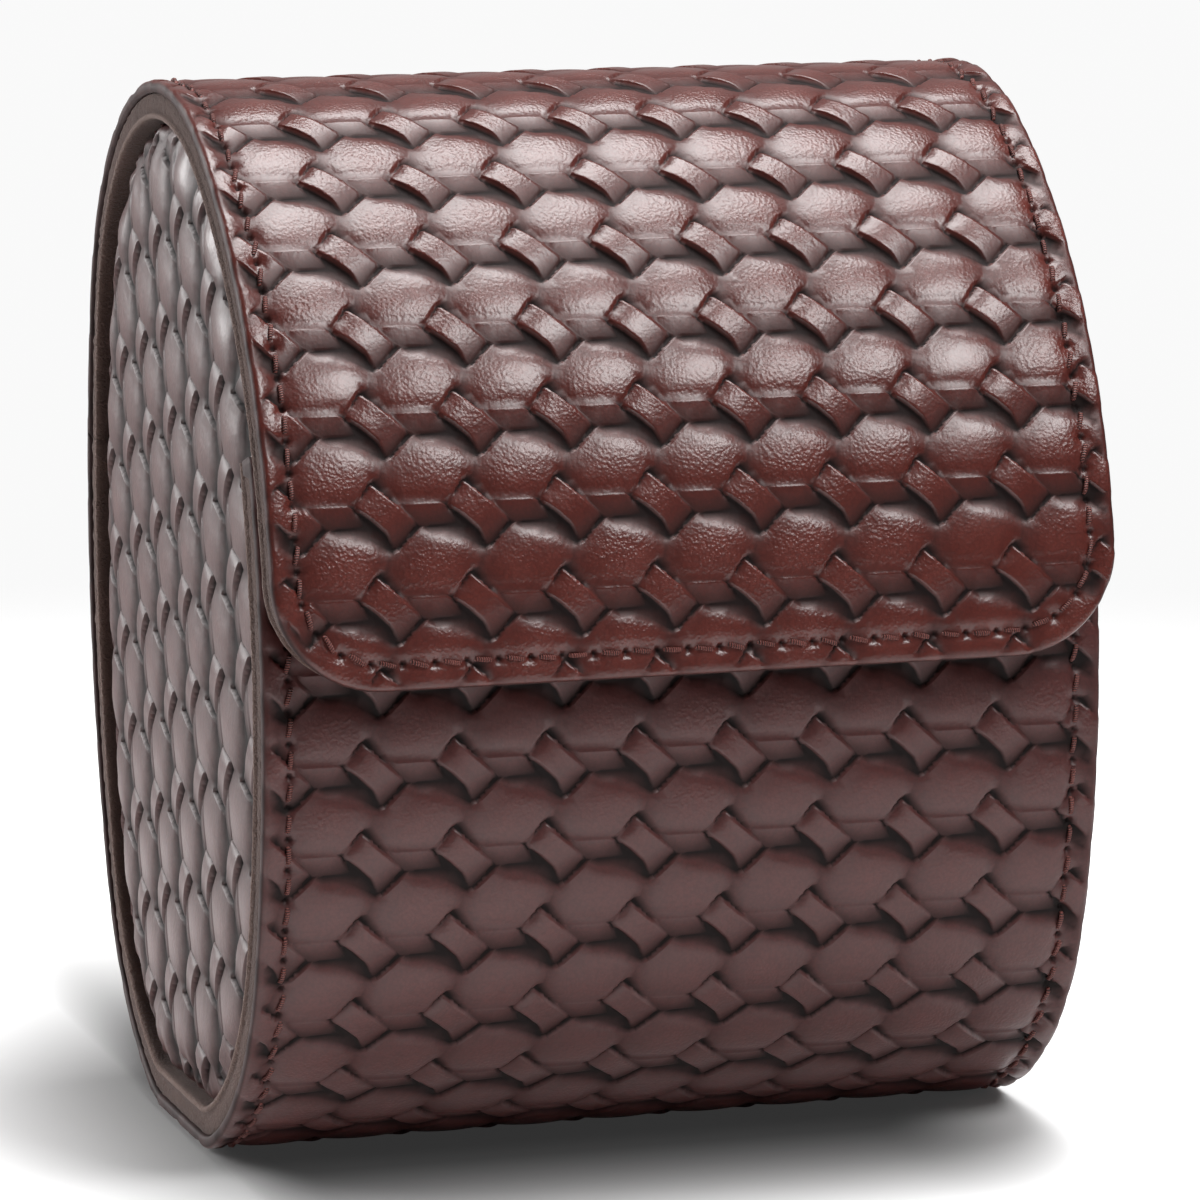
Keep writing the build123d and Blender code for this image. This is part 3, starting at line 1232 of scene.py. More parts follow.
# ---- suede linings ----
@dataclass(frozen=True)
class Lining:
    """Suede lining that covers the board inside and wraps its edges, with a rolled inner lip."""

    leather: float = 1.2 * MM
    thickness: float = 0.8 * MM
    nap: float = 0.13 * MM
    nap_size: float = 0.55 * MM
    nap_from: float = -0.5 * MM

    def profile(self, wall: float) -> list[Spot]:
        """Rings from the inner face round the edge and back under the leather.

        Args:
            wall: Depth of the inner face below the leather's outer face.

        Returns:
            How far each ring stands out of the outline, its height, and how much it is lip.
        """
        under = -self.leather
        span = wall - self.leather
        return [
            (-0.75 * MM, -wall, 0.0),
            (-0.4 * MM, -wall, 0.3),
            (-0.1 * MM, -wall + 0.08 * MM, 1.0),
            (0.02 * MM, -wall + 0.28 * MM, 1.0),
            (-0.02 * MM, -wall + 0.44 * MM, 1.0),
            (-0.26 * MM, -wall + 0.6 * MM, 0.0),
            (-0.22 * MM, under - span * 0.55, 0.0),
            (-0.2 * MM, under - span * 0.33, 0.0),
            (-0.28 * MM, under - 0.2 * MM, 0.0),
            (-0.5 * MM, under, 0.0),
            (-0.8 * MM, under, 0.0),
            (-0.85 * MM, -wall + self.thickness, 0.0),
        ]

    def build(self, name: str, outline: Outline, wall: float, place: Placer) -> Piece:
        """Builds the lining as a closed tray-shaped piece.

        Args:
            name: Name of the piece.
            outline: Its boundary, whose depth is how far down the leather covers it.
            wall: Depth of the inner face below the leather's outer face.
            place: Turns flat points and heights into positions.

        Returns:
            The object.
        """
        rings, lip = [], []
        for out, height, share in self.profile(wall):
            flat = outline.inset(-out)
            level = np.minimum(height, -outline.depth)
            spots = [Vector(spot) / self.nap_size for spot in place(flat, level)]
            fuzz = np.array([noise.noise(spot) for spot in spots]) * self.nap
            amount = (1 - 0.6 * share) if out > self.nap_from else 0.0
            shift = fuzz * amount * outline.rounding
            rings.append((flat + outline.normal * shift[:, None], level))
            lip.append(share)
        inner, last = rings[0][0], rings[-1][0]
        grid, gap = grid_over(inner, 2.6 * MM), 0.8 * MM
        front = filled(inner, grid, gap, -wall)
        back = filled(last, grid, gap, -wall + self.thickness)
        piece = shell(name, rings, front, back, place, {})
        value = np.zeros(len(piece.data.vertices))
        value[: len(lip) * len(outline.points)] = np.repeat(lip, len(outline.points))
        store(piece.data, "lip", value)
        return piece


# ---- threads ----
@dataclass(frozen=True)
class Threads:
    """Stitches of waxed thread, each one arching between two needle holes."""

    thread: float = 0.42 * MM
    stations: tuple[float, ...] = (-1.0, -0.78, -0.35, 0.35, 0.78, 1.0)
    lifts: tuple[float, ...] = (-0.48, 0.0, 0.15, 0.15, 0.0, -0.48)
    girths: tuple[float, ...] = (0.7, 0.95, 1.0, 1.0, 0.95, 0.7)
    sides: int = 7
    reach: float = 0.66
    stray: float = 0.05 * MM

    def build(
        self, name: str, lines: Sequence[StitchLine], level: Leveller, place: Placer
    ) -> Piece:
        """Sews the lines.

        Args:
            name: Name of the piece.
            lines: The sewn lines.
            level: Height of the surface at flat points.
            place: Turns flat points and heights into positions.

        Returns:
            The object.
        """
        points, along, faces = [], [], []
        for line in lines:
            holes = line.holes()
            for index, (a, b) in enumerate(zip(holes[:-1], holes[1:])):
                spots, base = self.line_of(a, b, index, line, level)
                faces += self.faces(len(points) * self.sides)
                points += self.rings(spots, base, index)
                along += [index + at / 2 for at in self.stations]
        flat, height = np.split(np.vstack(points), [2], axis=1)
        verts = place(flat, height[:, 0])
        values = {
            "along": np.repeat(along, self.sides),
            "around": np.tile(np.arange(self.sides) / self.sides, len(points)),
        }
        return make_object(name, verts, turned_out(verts, faces), values, flat)

    def line_of(
        self, a: Array, b: Array, index: int, line: StitchLine, level: Leveller
    ) -> tuple[Array, float]:
        """Flat points of one stitch between two holes, and the height it lies at.

        Args:
            a: The first hole.
            b: The second hole.
            index: Number of the stitch, which sets its small differences.
            line: The sewn line.
            level: Height of the surface at flat points.

        Returns:
            The points and the height.
        """
        unit, side, length = direction(a, b)
        wander = math.sin(index * 12.9898) + 0.5 * math.sin(index * 4.33 + 1)
        at = np.array(self.stations) * length / 2
        slant = line.slant * (1 + 0.7 * wander)
        stray = self.stray * math.sin(index * 7.7)
        spots = (a + b) / 2 + np.outer(at * self.reach, unit) + np.outer(at * slant + stray, side)
        height = level(spots)
        return spots, float(0.3 * height[1:-1].max() + 0.7 * height[1:-1].mean())

    def rings(self, spots: Array, base: float, index: int) -> list[Array]:
        """Rings of points round one stitch.

        Args:
            spots: Flat points of the stitch's line.
            base: Height that it lies at.
            index: Number of the stitch.

        Returns:
            Flat points and heights of each ring.
        """
        _, side, _ = direction(spots[0], spots[-1])
        turn = np.arange(self.sides) * 2 * math.pi / self.sides
        full = 1 + 0.08 * math.sin(index * 3.1)
        rings = []
        for spot, lift, girth in zip(spots, self.lifts, self.girths):
            reach = self.thread / 2 * girth * full
            flat = spot + np.outer(np.cos(turn) * reach, side)
            rings.append(np.column_stack([flat, base + lift * MM + np.sin(turn) * reach]))
        return rings

    def faces(self, start: int) -> Faces:
        """Faces of one stitch, a closed tube.

        Args:
            start: Number of its first point.

        Returns:
            Vertex numbers of each face.
        """
        sides, stations = self.sides, len(self.stations)
        last = start + (stations - 1) * sides
        faces: Faces = []
        for p in range(start, last, sides):
            for i in range(sides):
                j = (i + 1) % sides
                faces.append((p + i, p + sides + i, p + sides + j, p + j))
        faces.append(tuple(range(start, start + sides)))
        faces.append(tuple(reversed(range(last, last + sides))))
        return faces


# ---- padded ends ----
@dataclass(frozen=True)
class EndLattice:
    """Where the embossing's cells lie on an end, turned and mirrored with its side."""

    weave: Weave
    mirror: int
    turn: float = math.radians(286.96)
    origin: Pair = (13.1 * MM, 58.435 * MM)
    first: Pair = (0.33, 0.58)

    def cells(self, flat: Array) -> Cells:
        """Turns points of the Y-Z plane into cell coordinates.

        Args:
            flat: The points.

        Returns:
            The places across and along, in cells.
        """
        cos, sin = math.cos(self.turn), math.sin(self.turn)
        right, down = self.mirror * flat[:, 0] + self.origin[0], self.origin[1] - flat[:, 1]
        return (
            self.first[0] + (right * cos - down * sin) / self.weave.across,
            self.first[1] + (right * sin + down * cos) / self.weave.along,
        )

    def flat_of(self, u: Array, v: Array) -> Array:
        """Points of the Y-Z plane of cell coordinates.

        Args:
            u: Places across, in cells.
            v: Places along, in cells.

        Returns:
            The points.
        """
        cos, sin = math.cos(self.turn), math.sin(self.turn)
        a, b = (u - self.first[0]) * self.weave.across, (v - self.first[1]) * self.weave.along
        right, down = a * cos + b * sin, -a * sin + b * cos
        return np.column_stack([self.mirror * (right - self.origin[0]), self.origin[1] - down])


@dataclass(frozen=True)
class PaddedEnd:
    """One end of the roll: embossed leather drawn over foam, and crimped round its edge.

    The crown's middle and reach, its rise along them, and the rim's rings are in mm.
    """

    oval: StripPath
    weave: Weave
    inset: float = 3.86 * MM
    depth: float = 7.5 * MM
    roll_width: float = 4.6 * MM
    roll_drop: float = 2.3 * MM
    pleat: float = 0.3 * MM
    pleat_pitch: float = 4.4 * MM
    pleat_reach: float = 6.0 * MM
    crown_middle: Pair = (2.0, 46.0)
    crown_reach: Pair = (20.0, 30.0)
    crown: tuple[float, ...] = (0.15, 0.21, 0.1, 0.36, 0.18)
    rim: tuple[Pair, ...] = ((0.12, 0.5), (0.02, 1.0), (0.02, 1.7))

    def loop(self, spacing: float = 0.6 * MM) -> Array:
        """Boundary of the end, in the Y-Z plane.

        Args:
            spacing: Distance between its points.

        Returns:
            The points.
        """
        count = int(round(self.oval.length / spacing))
        along = np.arange(count) / count * self.oval.length
        return resample(self.oval.at(along, np.full(count, -self.inset)), spacing)

    def build(self, side: Side) -> Piece:
        """Builds one end.

        Args:
            side: Which end.

        Returns:
            The object.
        """
        loop = self.loop()
        sheet = EmbossedLeather(EndLattice(self.weave, side.value))
        outline = Outline(loop, outward_normals(loop), np.ones(len(loop)), np.zeros(len(loop)))
        top = outline.inset(0.3 * MM)
        flat, tris = triangulate(top, sheet.inner_points(top))
        edge = line_distance(*flat.T, np.vstack([loop, loop[:1]]))
        height, relief = sheet.height(flat, edge)
        height += self.swell(flat, edge, outline)
        level = height[: len(top)]
        rings = [(top, level)]
        rings += [(outline.inset(inset * MM), level - drop * MM) for inset, drop in self.rim]
        last = outline.inset(0.5 * MM)
        rings.append((last, np.full(len(top), -self.depth)))
        back = filled(last, grid_over(last, 5 * MM), 1 * MM, -self.depth)
        case_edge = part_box("case_leather")[1].x

        def place(points: Array, level: Array) -> Array:
            """Positions of points of the Y-Z plane at heights over the case's edge."""
            return np.column_stack([side.value * (case_edge + level), points])

        name = f"end_pad_{side.name.lower()}"
        return shell(name, rings, Face(flat, tris, height), back, place, {"relief": relief})

    def swell(self, flat: Array, edge: Array, outline: Outline) -> Array:
        """Height of the padding above the rim: a low crown, a rolled edge and small pleats.

        Args:
            flat: Points in the Y-Z plane.
            edge: Distance of each point from the boundary.
            outline: The boundary.

        Returns:
            The heights.
        """
        back, up = ((flat / MM - self.crown_middle) / self.crown_reach).T
        rise, lean, sink, bow, twist = self.crown
        crown = rise + lean * back - sink * up - bow * back**2 + twist * back**3
        share = np.clip(edge / self.roll_width, 0, 1)
        roll = -self.roll_drop * (1 - np.sqrt(1 - (1 - share) ** 2 * 0.98))
        nearest = np.array([int(np.argmin(np.hypot(*(outline.points - p).T))) for p in flat])
        along = nearest / len(outline.points) * self.oval.length
        waves = 2 * math.pi * along / self.pleat_pitch
        wave = np.sin(waves + 1.3 * np.sin(waves * 0.31)) - 0.4
        ends = smoothstep((np.abs(outline.normal[nearest, 1]) - 0.35) / 0.5)
        fade = np.clip(1 - edge / self.pleat_reach, 0, 1) ** 1.5
        return crown * MM + roll + self.pleat * wave * fade * (0.25 + 0.75 * ends)


# ---- modelling by operators ----
def start_fresh() -> None:
    """Deselects everything, so that the next operator acts on its own piece."""
    if bpy.context.object and bpy.context.object.mode != "OBJECT":
        bpy.ops.object.mode_set(mode="OBJECT")
    bpy.ops.object.select_all(action="DESELECT")


def apply_place(piece: Piece) -> None:
    """Puts a piece's place, turn and size into its mesh.

    Args:
        piece: The piece.
    """
    bpy.context.view_layer.objects.active = piece
    piece.select_set(True)
    bpy.ops.object.transform_apply(location=True, rotation=True, scale=True)


def apply_modifiers(piece: Piece) -> None:
    """Applies every modifier of a piece, in order.

    Args:
        piece: The piece.
    """
    bpy.context.view_layer.objects.active = piece
    for modifier in list(piece.modifiers):
        bpy.ops.object.modifier_apply(modifier=modifier.name)


def pick(piece: Piece, chosen: Callable[[Vector], bool]) -> None:
    """Selects some of a piece's vertices in edit mode, and nothing else.

    Args:
        piece: The piece.
        chosen: Tells whether a vertex at a place is picked.
    """
    bpy.ops.object.mode_set(mode="OBJECT")
    mesh = piece.data
    for group in (mesh.polygons, mesh.edges):
        group.foreach_set("select", [False] * len(group))
    mesh.vertices.foreach_set("select", [chosen(v.co) for v in mesh.vertices])
    bpy.ops.object.mode_set(mode="EDIT")
    bpy.ops.mesh.select_mode(type="VERT")


def face_out() -> None:
    """Turns every face of the piece in edit mode outwards, and leaves edit mode."""
    bpy.ops.mesh.select_all(action="SELECT")
    bpy.ops.mesh.normals_make_consistent(inside=False)
    bpy.ops.object.mode_set(mode="OBJECT")


def soften(piece: Piece, name: str, width: float, segments: int) -> None:
    """Adds a named bevel of a piece's sharp edges, with so many faces across its width."""
    bevel = piece.modifiers.new(name, "BEVEL")
    bevel.width, bevel.segments, bevel.angle_limit = width, segments, math.radians(50)


def points_of(piece: Piece) -> Array:
    """Positions of a piece's vertices."""
    return np.array([v.co for v in piece.data.vertices])


def move_points(piece: Piece, points: Array) -> None:
    """Moves a piece's vertices to new positions."""
    piece.data.vertices.foreach_set("co", points.ravel())
    piece.data.update()


@dataclass(frozen=True)
class EndLining:
    """Suede panel on the inner face of one end, with softly turned edges."""

    oval: StripPath
    inset: float = 4.1 * MM
    thickness: float = 0.8 * MM
    sides: int = 160
    edge: float = 0.3 * MM
    steps: tuple[Pair, ...] = ((3.0 * MM, 0.18 * MM), (5.0 * MM, -0.16 * MM))

    def build(self, side: Side) -> Piece:
        """Builds one panel.

        Args:
            side: Which end.

        Returns:
            The object.
        """
        low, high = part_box(f"end_lining_{side.name.lower()}")
        start_fresh()
        bpy.ops.mesh.primitive_circle_add(vertices=self.sides, radius=1.0, fill_type="NGON")
        piece = bpy.context.object
        piece.name = piece.data.name = f"end_panel_{side.name.lower()}"
        outer = low.x if side is Side.LEFT else high.x
        along = np.arange(self.sides) / self.sides * self.oval.length
        line = self.oval.at(along, np.full(self.sides, -self.inset))
        move_points(piece, np.column_stack([np.full(self.sides, outer), line]))
        bpy.ops.object.mode_set(mode="EDIT")
        bpy.ops.mesh.select_all(action="SELECT")
        bpy.ops.mesh.extrude_region_move(
            TRANSFORM_OT_translate={"value": (-side.value * self.thickness, 0, 0)}
        )
        for width, sink in self.steps:
            bpy.ops.mesh.inset(thickness=width)
            bpy.ops.transform.translate(value=(side.value * sink, 0, 0))
        face_out()
        soften(piece, "turned edge", self.edge, 3)
        apply_modifiers(piece)
        bpy.ops.object.shade_smooth_by_angle(angle=math.radians(40))
        return piece


# ---- finishes ----
def tone(*display: int) -> tuple[float, ...]:
    """Linear colour with alpha from red, green and blue display values of 0 to 255."""
    share = (v / 255 for v in display)
    return (*(((v + 0.055) / 1.055) ** 2.4 if v > 0.04 else v / 12.92 for v in share), 1.0)


class Wire:
    """An output socket of a material, on which sums and products can be written."""

    def __init__(self, graph: "Graph", socket: bpy.types.NodeSocket) -> None:
        """Keeps the socket and the graph that it is in."""
        self.graph = graph
        self.socket = socket

    def __add__(self, other: "Wire | float") -> "Wire":
        """Sum."""
        return self.graph.maths("ADD", self, other)

    def __radd__(self, other: float) -> "Wire":
        """Sum, reflected."""
        return self.graph.maths("ADD", other, self)

    def __sub__(self, other: "Wire | float") -> "Wire":
        """Difference."""
        return self.graph.maths("SUBTRACT", self, other)

    def __rsub__(self, other: float) -> "Wire":
        """Difference, reflected."""
        return self.graph.maths("SUBTRACT", other, self)

    def __mul__(self, other: "Wire | float") -> "Wire":
        """Product."""
        return self.graph.maths("MULTIPLY", self, other)

    def __rmul__(self, other: float) -> "Wire":
        """Product, reflected."""
        return self.graph.maths("MULTIPLY", other, self)

    def __pow__(self, other: float) -> "Wire":
        """Power."""
        return self.graph.maths("POWER", self, other)

    def spread(self, low: float, high: float) -> "Wire":
        """The value with low taken to 0 and high to 1, and held between them."""
        ends = {"Value": self, "From Min": low, "From Max": high}
        return self.graph.node("ShaderNodeMapRange", {"clamp": True}, ends)


class Graph:
    """The nodes of one material."""

    def __init__(self, name: str, world: bool = False) -> None:
        """Makes an empty material.

        Args:
            name: Its name.
            world: Whether it is a world.
        """
        kept = bpy.data.worlds if world else bpy.data.materials
        self.material = kept.new(name)
        self.material.use_nodes = True
        self.tree = self.material.node_tree
        self.tree.nodes.clear()

    def node(
        self,
        kind: str,
        settings: dict[str, Any] | None = None,
        inputs: Sockets | None = None,
        output: str | int = 0,
    ) -> Wire | None:
        """Makes a node.

        Args:
            kind: The node's type.
            settings: Its settings, such as a Math node's operation.
            inputs: Values or links of its sockets, by name or number.
            output: The output that is handed back.

        Returns:
            The output, or nothing from a node that has none.
        """
        made = self.tree.nodes.new(kind)
        for key, value in (settings or {}).items():
            setattr(made, key, value)
        for key, value in (inputs or {}).items():
            if isinstance(value, Wire):
                self.tree.links.new(value.socket, made.inputs[key])
            else:
                made.inputs[key].default_value = value
        return Wire(self, made.outputs[output]) if len(made.outputs) else None

    def maths(self, operation: str, first: Wire | float, second: Wire | float) -> Wire:
        """A Math node of two values."""
        return self.node("ShaderNodeMath", {"operation": operation}, {0: first, 1: second})

    def blend(self, factor: Wire | float, first: Any, second: Any, how: str = "MIX") -> Wire:
        """Mix of two colours by the share of the second, and by the node's blend type."""
        settings = {"data_type": "RGBA", "blend_type": how}
        return self.node("ShaderNodeMix", settings, {"Factor": factor, 6: first, 7: second}, 2)

    def attribute(self, name: str) -> Wire:
        """Value stored on the piece's points."""
        return self.node("ShaderNodeAttribute", {"attribute_name": name}, {}, "Fac")

    def separate(self, where: Wire) -> list[Wire]:
        """The X, Y and Z of a vector."""
        node = self.node("ShaderNodeSeparateXYZ", {}, {0: where}).socket.node
        return [Wire(self, output) for output in node.outputs]

    def scaled(self, where: Wire, scale: Spot = (1.0, 1.0, 1.0), turn: float = 0.0) -> Wire:
        """Coordinates in millimetres, with an optional stretch of each axis and turn about Z."""
        inputs = {"Vector": where, "Scale": [1000 * a for a in scale], "Rotation": (0, 0, turn)}
        return self.node("ShaderNodeMapping", {"vector_type": "POINT"}, inputs)

    def flat(self, scale: Spot = (1.0, 1.0, 1.0), turn: float = 0.0) -> Wire:
        """The sheet's flat map, in millimetres, with an optional stretch and turn."""
        return self.scaled(self.node("ShaderNodeUVMap", {"uv_map": "flat"}), scale, turn)

    def solid(self) -> Wire:
        """The piece's own coordinates, in millimetres."""
        return self.scaled(self.node("ShaderNodeTexCoord", {}, {}, "Object"))

    def cloud(self, where: Wire, size: float, detail: float = 2.0, rough: float = 0.5) -> Wire:
        """Noise of a given size in millimetres."""
        inputs = {"Vector": where, "Scale": 1 / size, "Detail": detail, "Roughness": rough}
        return self.node("ShaderNodeTexNoise", {}, inputs, "Fac")

    def pebbles(self, where: Wire, size: float, feature: str = "SMOOTH_F1") -> Wire:
        """Distance from the middle of pebbles of a given size in millimetres."""
        inputs = {"Vector": where, "Scale": 1 / size}
        return self.node("ShaderNodeTexVoronoi", {"feature": feature}, inputs, "Distance")

    def bump(
        self, height: Wire, distance: float, strength: float = 1.0, under: Wire | None = None
    ) -> Wire:
        """Bumps of a height map.

        Args:
            height: The height map, about 0 to 1.
            distance: Height in millimetres of a full step.
            strength: Share of the bumps that shows.
            under: Bumps below this layer.

        Returns:
            The normal.
        """
        inputs = {"Height": height, "Distance": distance * MM, "Strength": strength}
        if under is not None:
            inputs["Normal"] = under
        return self.node("ShaderNodeBump", {}, inputs)

    def finish(
        self, inputs: Sockets, share: Wire | None = None, other: Sockets | None = None
    ) -> Material:
        """Ends the material in a Principled shader, or in two of them mixed.

        Args:
            inputs: Sockets of the shader.
            share: Share of the second shader.
            other: Sockets of the second shader.

        Returns:
            The material.
        """
        shader = self.node("ShaderNodeBsdfPrincipled", {}, inputs)
        if share is not None:
            second = self.node("ShaderNodeBsdfPrincipled", {}, other)
            shader = self.node("ShaderNodeMixShader", {}, {0: share, 1: shader, 2: second})
        self.node("ShaderNodeOutputMaterial", {}, {"Surface": shader})
        return self.material


@dataclass(frozen=True)
class LeatherFinish:
    """Pressed leather: painted shade in the grooves, rubbed high faces and a pebbled grain."""

    name: str
    groove_shade_and_speck: Tint
    face: Tint
    rubbed: Tint
    roughness: float
    grain: float
    coat: float
    # How far up the relief the painted shade of the grooves reaches.
    reach: float = 0.42
    near: "LeatherFinish | None" = None
    fold: Pair = (150.0, 200.0)

    def tints_with_painted_shade(self, graph: Graph) -> list[Any]:
        """Colours of the painted shade in the grooves, the faces and the rubbed faces, which change
        slowly beyond the fold.

        Args:
            graph: The material's graph.

        Returns:
            The three colours.
        """
        own = [tone(*self.groove_shade_and_speck), tone(*self.face), tone(*self.rubbed)]
        if self.near is None:
            return own
        share = graph.separate(graph.flat())[1].spread(*self.fold)
        others = [tone(*self.near.groove_shade_and_speck), tone(*self.near.face), tone(*self.near.rubbed)]
        return [graph.blend(share, other, mine) for other, mine in zip(others, own)]

    def material(self) -> Material:
        """Makes the material.

        Returns:
            The material.
        """
        graph = Graph(self.name)
        flat = graph.flat()
        groove_shade_and_speck, face, rubbed = self.tints_with_painted_shade(graph)
        relief = graph.attribute("relief")
        mottle = graph.cloud(flat, 3.2, 3.0, 0.55)
        patch = graph.cloud(flat, 17.0, 2.0)
        high = relief.spread(0.5, 0.95)
        grained = 0.12 + 0.88 * high * patch.spread(0.3, 0.6)
        pebble = graph.pebbles(flat, 0.27)
        fine = graph.cloud(flat, 0.16, 2.0, 0.6)
        # Painted shade: the first tint darkens the low parts of the relief, up to the reach.
        stain_and_painted_shade = graph.blend((relief + 0.1 * (mottle - 0.5)).spread(0.02, self.reach), groove_shade_and_speck, face)
        rub = high * (0.25 + 0.9 * mottle) * (0.6 + 0.6 * patch)
        colour = graph.blend(rub.spread(0.15, 1.25), stain_and_painted_shade, rubbed)
        speck = (pebble * fine).spread(0.12, 0.34)
        colour = graph.blend(0.22 * speck, colour, groove_shade_and_speck)
        creases = graph.cloud(graph.flat((1.0, 0.16, 1.0), math.radians(34)), 0.7, 2.0, 0.6)
        grain = graph.bump(pebble * grained, 0.045 * self.grain)
        grain = graph.bump(fine * grained, 0.016 * self.grain, 1.0, grain)
        grain = graph.bump(creases, 0.035, 0.6, grain)
        grain = graph.bump(mottle, 0.14, 0.5, grain)
        low = 1.0 - relief.spread(0.2, 0.75)
        rough = self.roughness + 0.1 * (mottle - 0.5) + 0.16 * low + 0.06 * patch
        both = {"Base Color": colour, "Normal": grain}
        coat = {"Coat Weight": self.coat * high, "Coat Roughness": 0.22}
        waxed = both | coat | {"Roughness": rough, "IOR": 1.5}
        matte = both | {"Roughness": 0.72, "Specular IOR Level": 0.22}
        return graph.finish(waxed, 1.0 - relief.spread(0.04, 0.66), matte)


@dataclass(frozen=True)
class SuedeFinish:
    """Napped suede: short fibres, brushed patches, and a pressed lip where it turns an edge."""

    name: str
    nap: Tint
    brushed: Tint
    lip: Tint
    sheen: float = 0.15

    def material(self) -> Material:
        """Makes the material.

        Returns:
            The material.
        """
        graph = Graph(self.name)
        where = graph.solid()
        fibres = graph.cloud(where, 0.22, 3.0, 0.7)
        grains = graph.pebbles(where, 0.34, "F1")
        patch = graph.cloud(where, 7.0, 3.0, 0.6)
        lip = graph.attribute("lip")
        colour = graph.blend(patch.spread(0.2, 0.85), tone(*self.nap), tone(*self.brushed))
        colour = graph.blend(fibres.spread(0.58, 0.78) * 0.6, colour, tone(*self.lip))
        shade = tone(*(v // 2 for v in self.nap))
        colour = graph.blend(fibres.spread(0.46, 0.24) * 0.55, colour, shade)
        colour = graph.blend(lip * 0.7, colour, tone(*self.lip))
        nap = graph.bump(fibres, 0.3)
        nap = graph.bump(grains, 0.1, 0.7, nap)
        look = {"Base Color": colour, "Roughness": 0.94 - 0.12 * lip, "Normal": nap}
        return graph.finish(look | {"Sheen Weight": self.sheen, "Sheen Roughness": 0.45})


@dataclass(frozen=True)
class ThreadFinish:
    """Waxed thread, twisted, with painted shade between its plies."""

    name: str = "waxed thread"
    thread: Tint = (118, 62, 55)
    # Painted shade in the grooves between the plies.
    between: Tint = (36, 13, 12)
    wear_and_painted_shadow: Tint = (150, 84, 76)
    twist: float = 9.0

    def material(self) -> Material:
        """Makes the material.

        Returns:
            The material.
        """
        graph = Graph(self.name)
        along = graph.attribute("along")
        around = graph.attribute("around")
        plies = graph.maths("SINE", (along * self.twist + around) * (2 * math.pi), 0.0)
        fuzz = graph.cloud(graph.flat(), 0.12, 2.0)
        wear = graph.cloud(graph.flat(), 5.0, 1.0)
        # Painted light and shade of the plies: the dark tint fills the low part of each twist.
        light = (plies * 0.5 + 0.5) * 0.8 + fuzz * 0.4
        colour = graph.blend(light.spread(0.15, 0.9), tone(*self.between), tone(*self.thread))
        colour = graph.blend(wear.spread(0.5, 0.8) * 0.35, colour, tone(*self.wear_and_painted_shadow))
        twist = graph.bump(plies, 0.05)
        return graph.finish({"Base Color": colour, "Roughness": 0.55 + 0.1 * fuzz, "Normal": twist})


@dataclass(frozen=True)
class BoardFinish:
    """Grey-brown pressed fibreboard with loose fibres."""

    name: str = "fibreboard"
    pulp: Tint = (176, 158, 132)
    fibre: Tint = (122, 102, 78)
    dark: Tint = (90, 72, 52)

    def material(self) -> Material:
        """Makes the material.

        Returns:
            The material.
        """
        graph = Graph(self.name)
        where = graph.solid()
        pulp = graph.cloud(where, 1.6, 4.0, 0.65)
        inputs = {"Vector": where, "Scale": 0.9, "Detail": 4.0, "Distortion": 3.0}
        threads = graph.node("ShaderNodeTexNoise", {}, inputs, "Fac")
        colour = graph.blend(pulp.spread(0.35, 0.7), tone(*self.pulp), tone(*self.fibre))
        colour = graph.blend(threads.spread(0.6, 0.72) * 0.5, colour, tone(*self.dark))
        rough = graph.bump(pulp, 0.08)
        return graph.finish({"Base Color": colour, "Roughness": 0.85 + 0.1 * pulp, "Normal": rough})


@dataclass(frozen=True)
class MagnetFinish:
    """Nickel-plated disc, turned and slightly marked."""

    name: str = "nickel plate"
    plate: Tint = (196, 196, 194)
    stain_and_painted_shade: Tint = (150, 146, 138)

    def material(self) -> Material:
        """Makes the material.

        Returns:
            The material.
        """
        graph = Graph(self.name)
        where = graph.solid()
        marks = graph.cloud(where, 0.5, 4.0, 0.7)
        stain_and_painted_shade = graph.cloud(where, 3.0, 2.0)
        colour = graph.blend(stain_and_painted_shade.spread(0.45, 0.75) * 0.4, tone(*self.plate), tone(*self.stain_and_painted_shade))
        look = {"Base Color": colour, "Metallic": 1.0, "Roughness": 0.24 + 0.16 * marks}
        return graph.finish(look | {"Normal": graph.bump(marks, 0.006)})


class Cloth(Enum):
    """The finishes that the pieces are dressed in."""

    # The first tint of each leather is its painted shade in the grooves; reach sets how far up the
    # relief it goes.
    CASE = LeatherFinish(
        "case leather", (18, 8, 7), (68, 29, 27), (88, 42, 39),
        roughness=0.37, grain=0.9, coat=0.06, reach=0.5,
    )
    FLAP = LeatherFinish(
        "flap leather", (22, 8, 7), (76, 28, 22), (106, 47, 39),
        roughness=0.29, grain=1.7, coat=0.2, reach=0.55, near=CASE,
    )
    END = LeatherFinish(
        "end leather", (14, 6, 6), (86, 52, 50), (122, 86, 82),
        roughness=0.34, grain=1.0, coat=0.1, reach=0.8,
    )
    SUEDE = SuedeFinish("suede", (60, 40, 34), (84, 60, 52), (106, 82, 73), sheen=0.08)
    CUSHION = SuedeFinish("cushion suede", (134, 108, 92), (152, 126, 108), (168, 144, 126))
    THREAD = ThreadFinish()
    BOARD = BoardFinish()
    MAGNET = MagnetFinish()


# ---- the object's sub-assemblies ----
@dataclass(frozen=True)
class Hinge:
    """The fold at the top of the back, where the flap's leather turns."""

    middle: Vector
    half: float = 5.5 * MM
    lean: Spot = (0.0, -0.58, 0.81)

    def carry(self, piece: Piece) -> None:
        """Puts a piece's place, turn and size into its mesh."""
        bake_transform(piece)


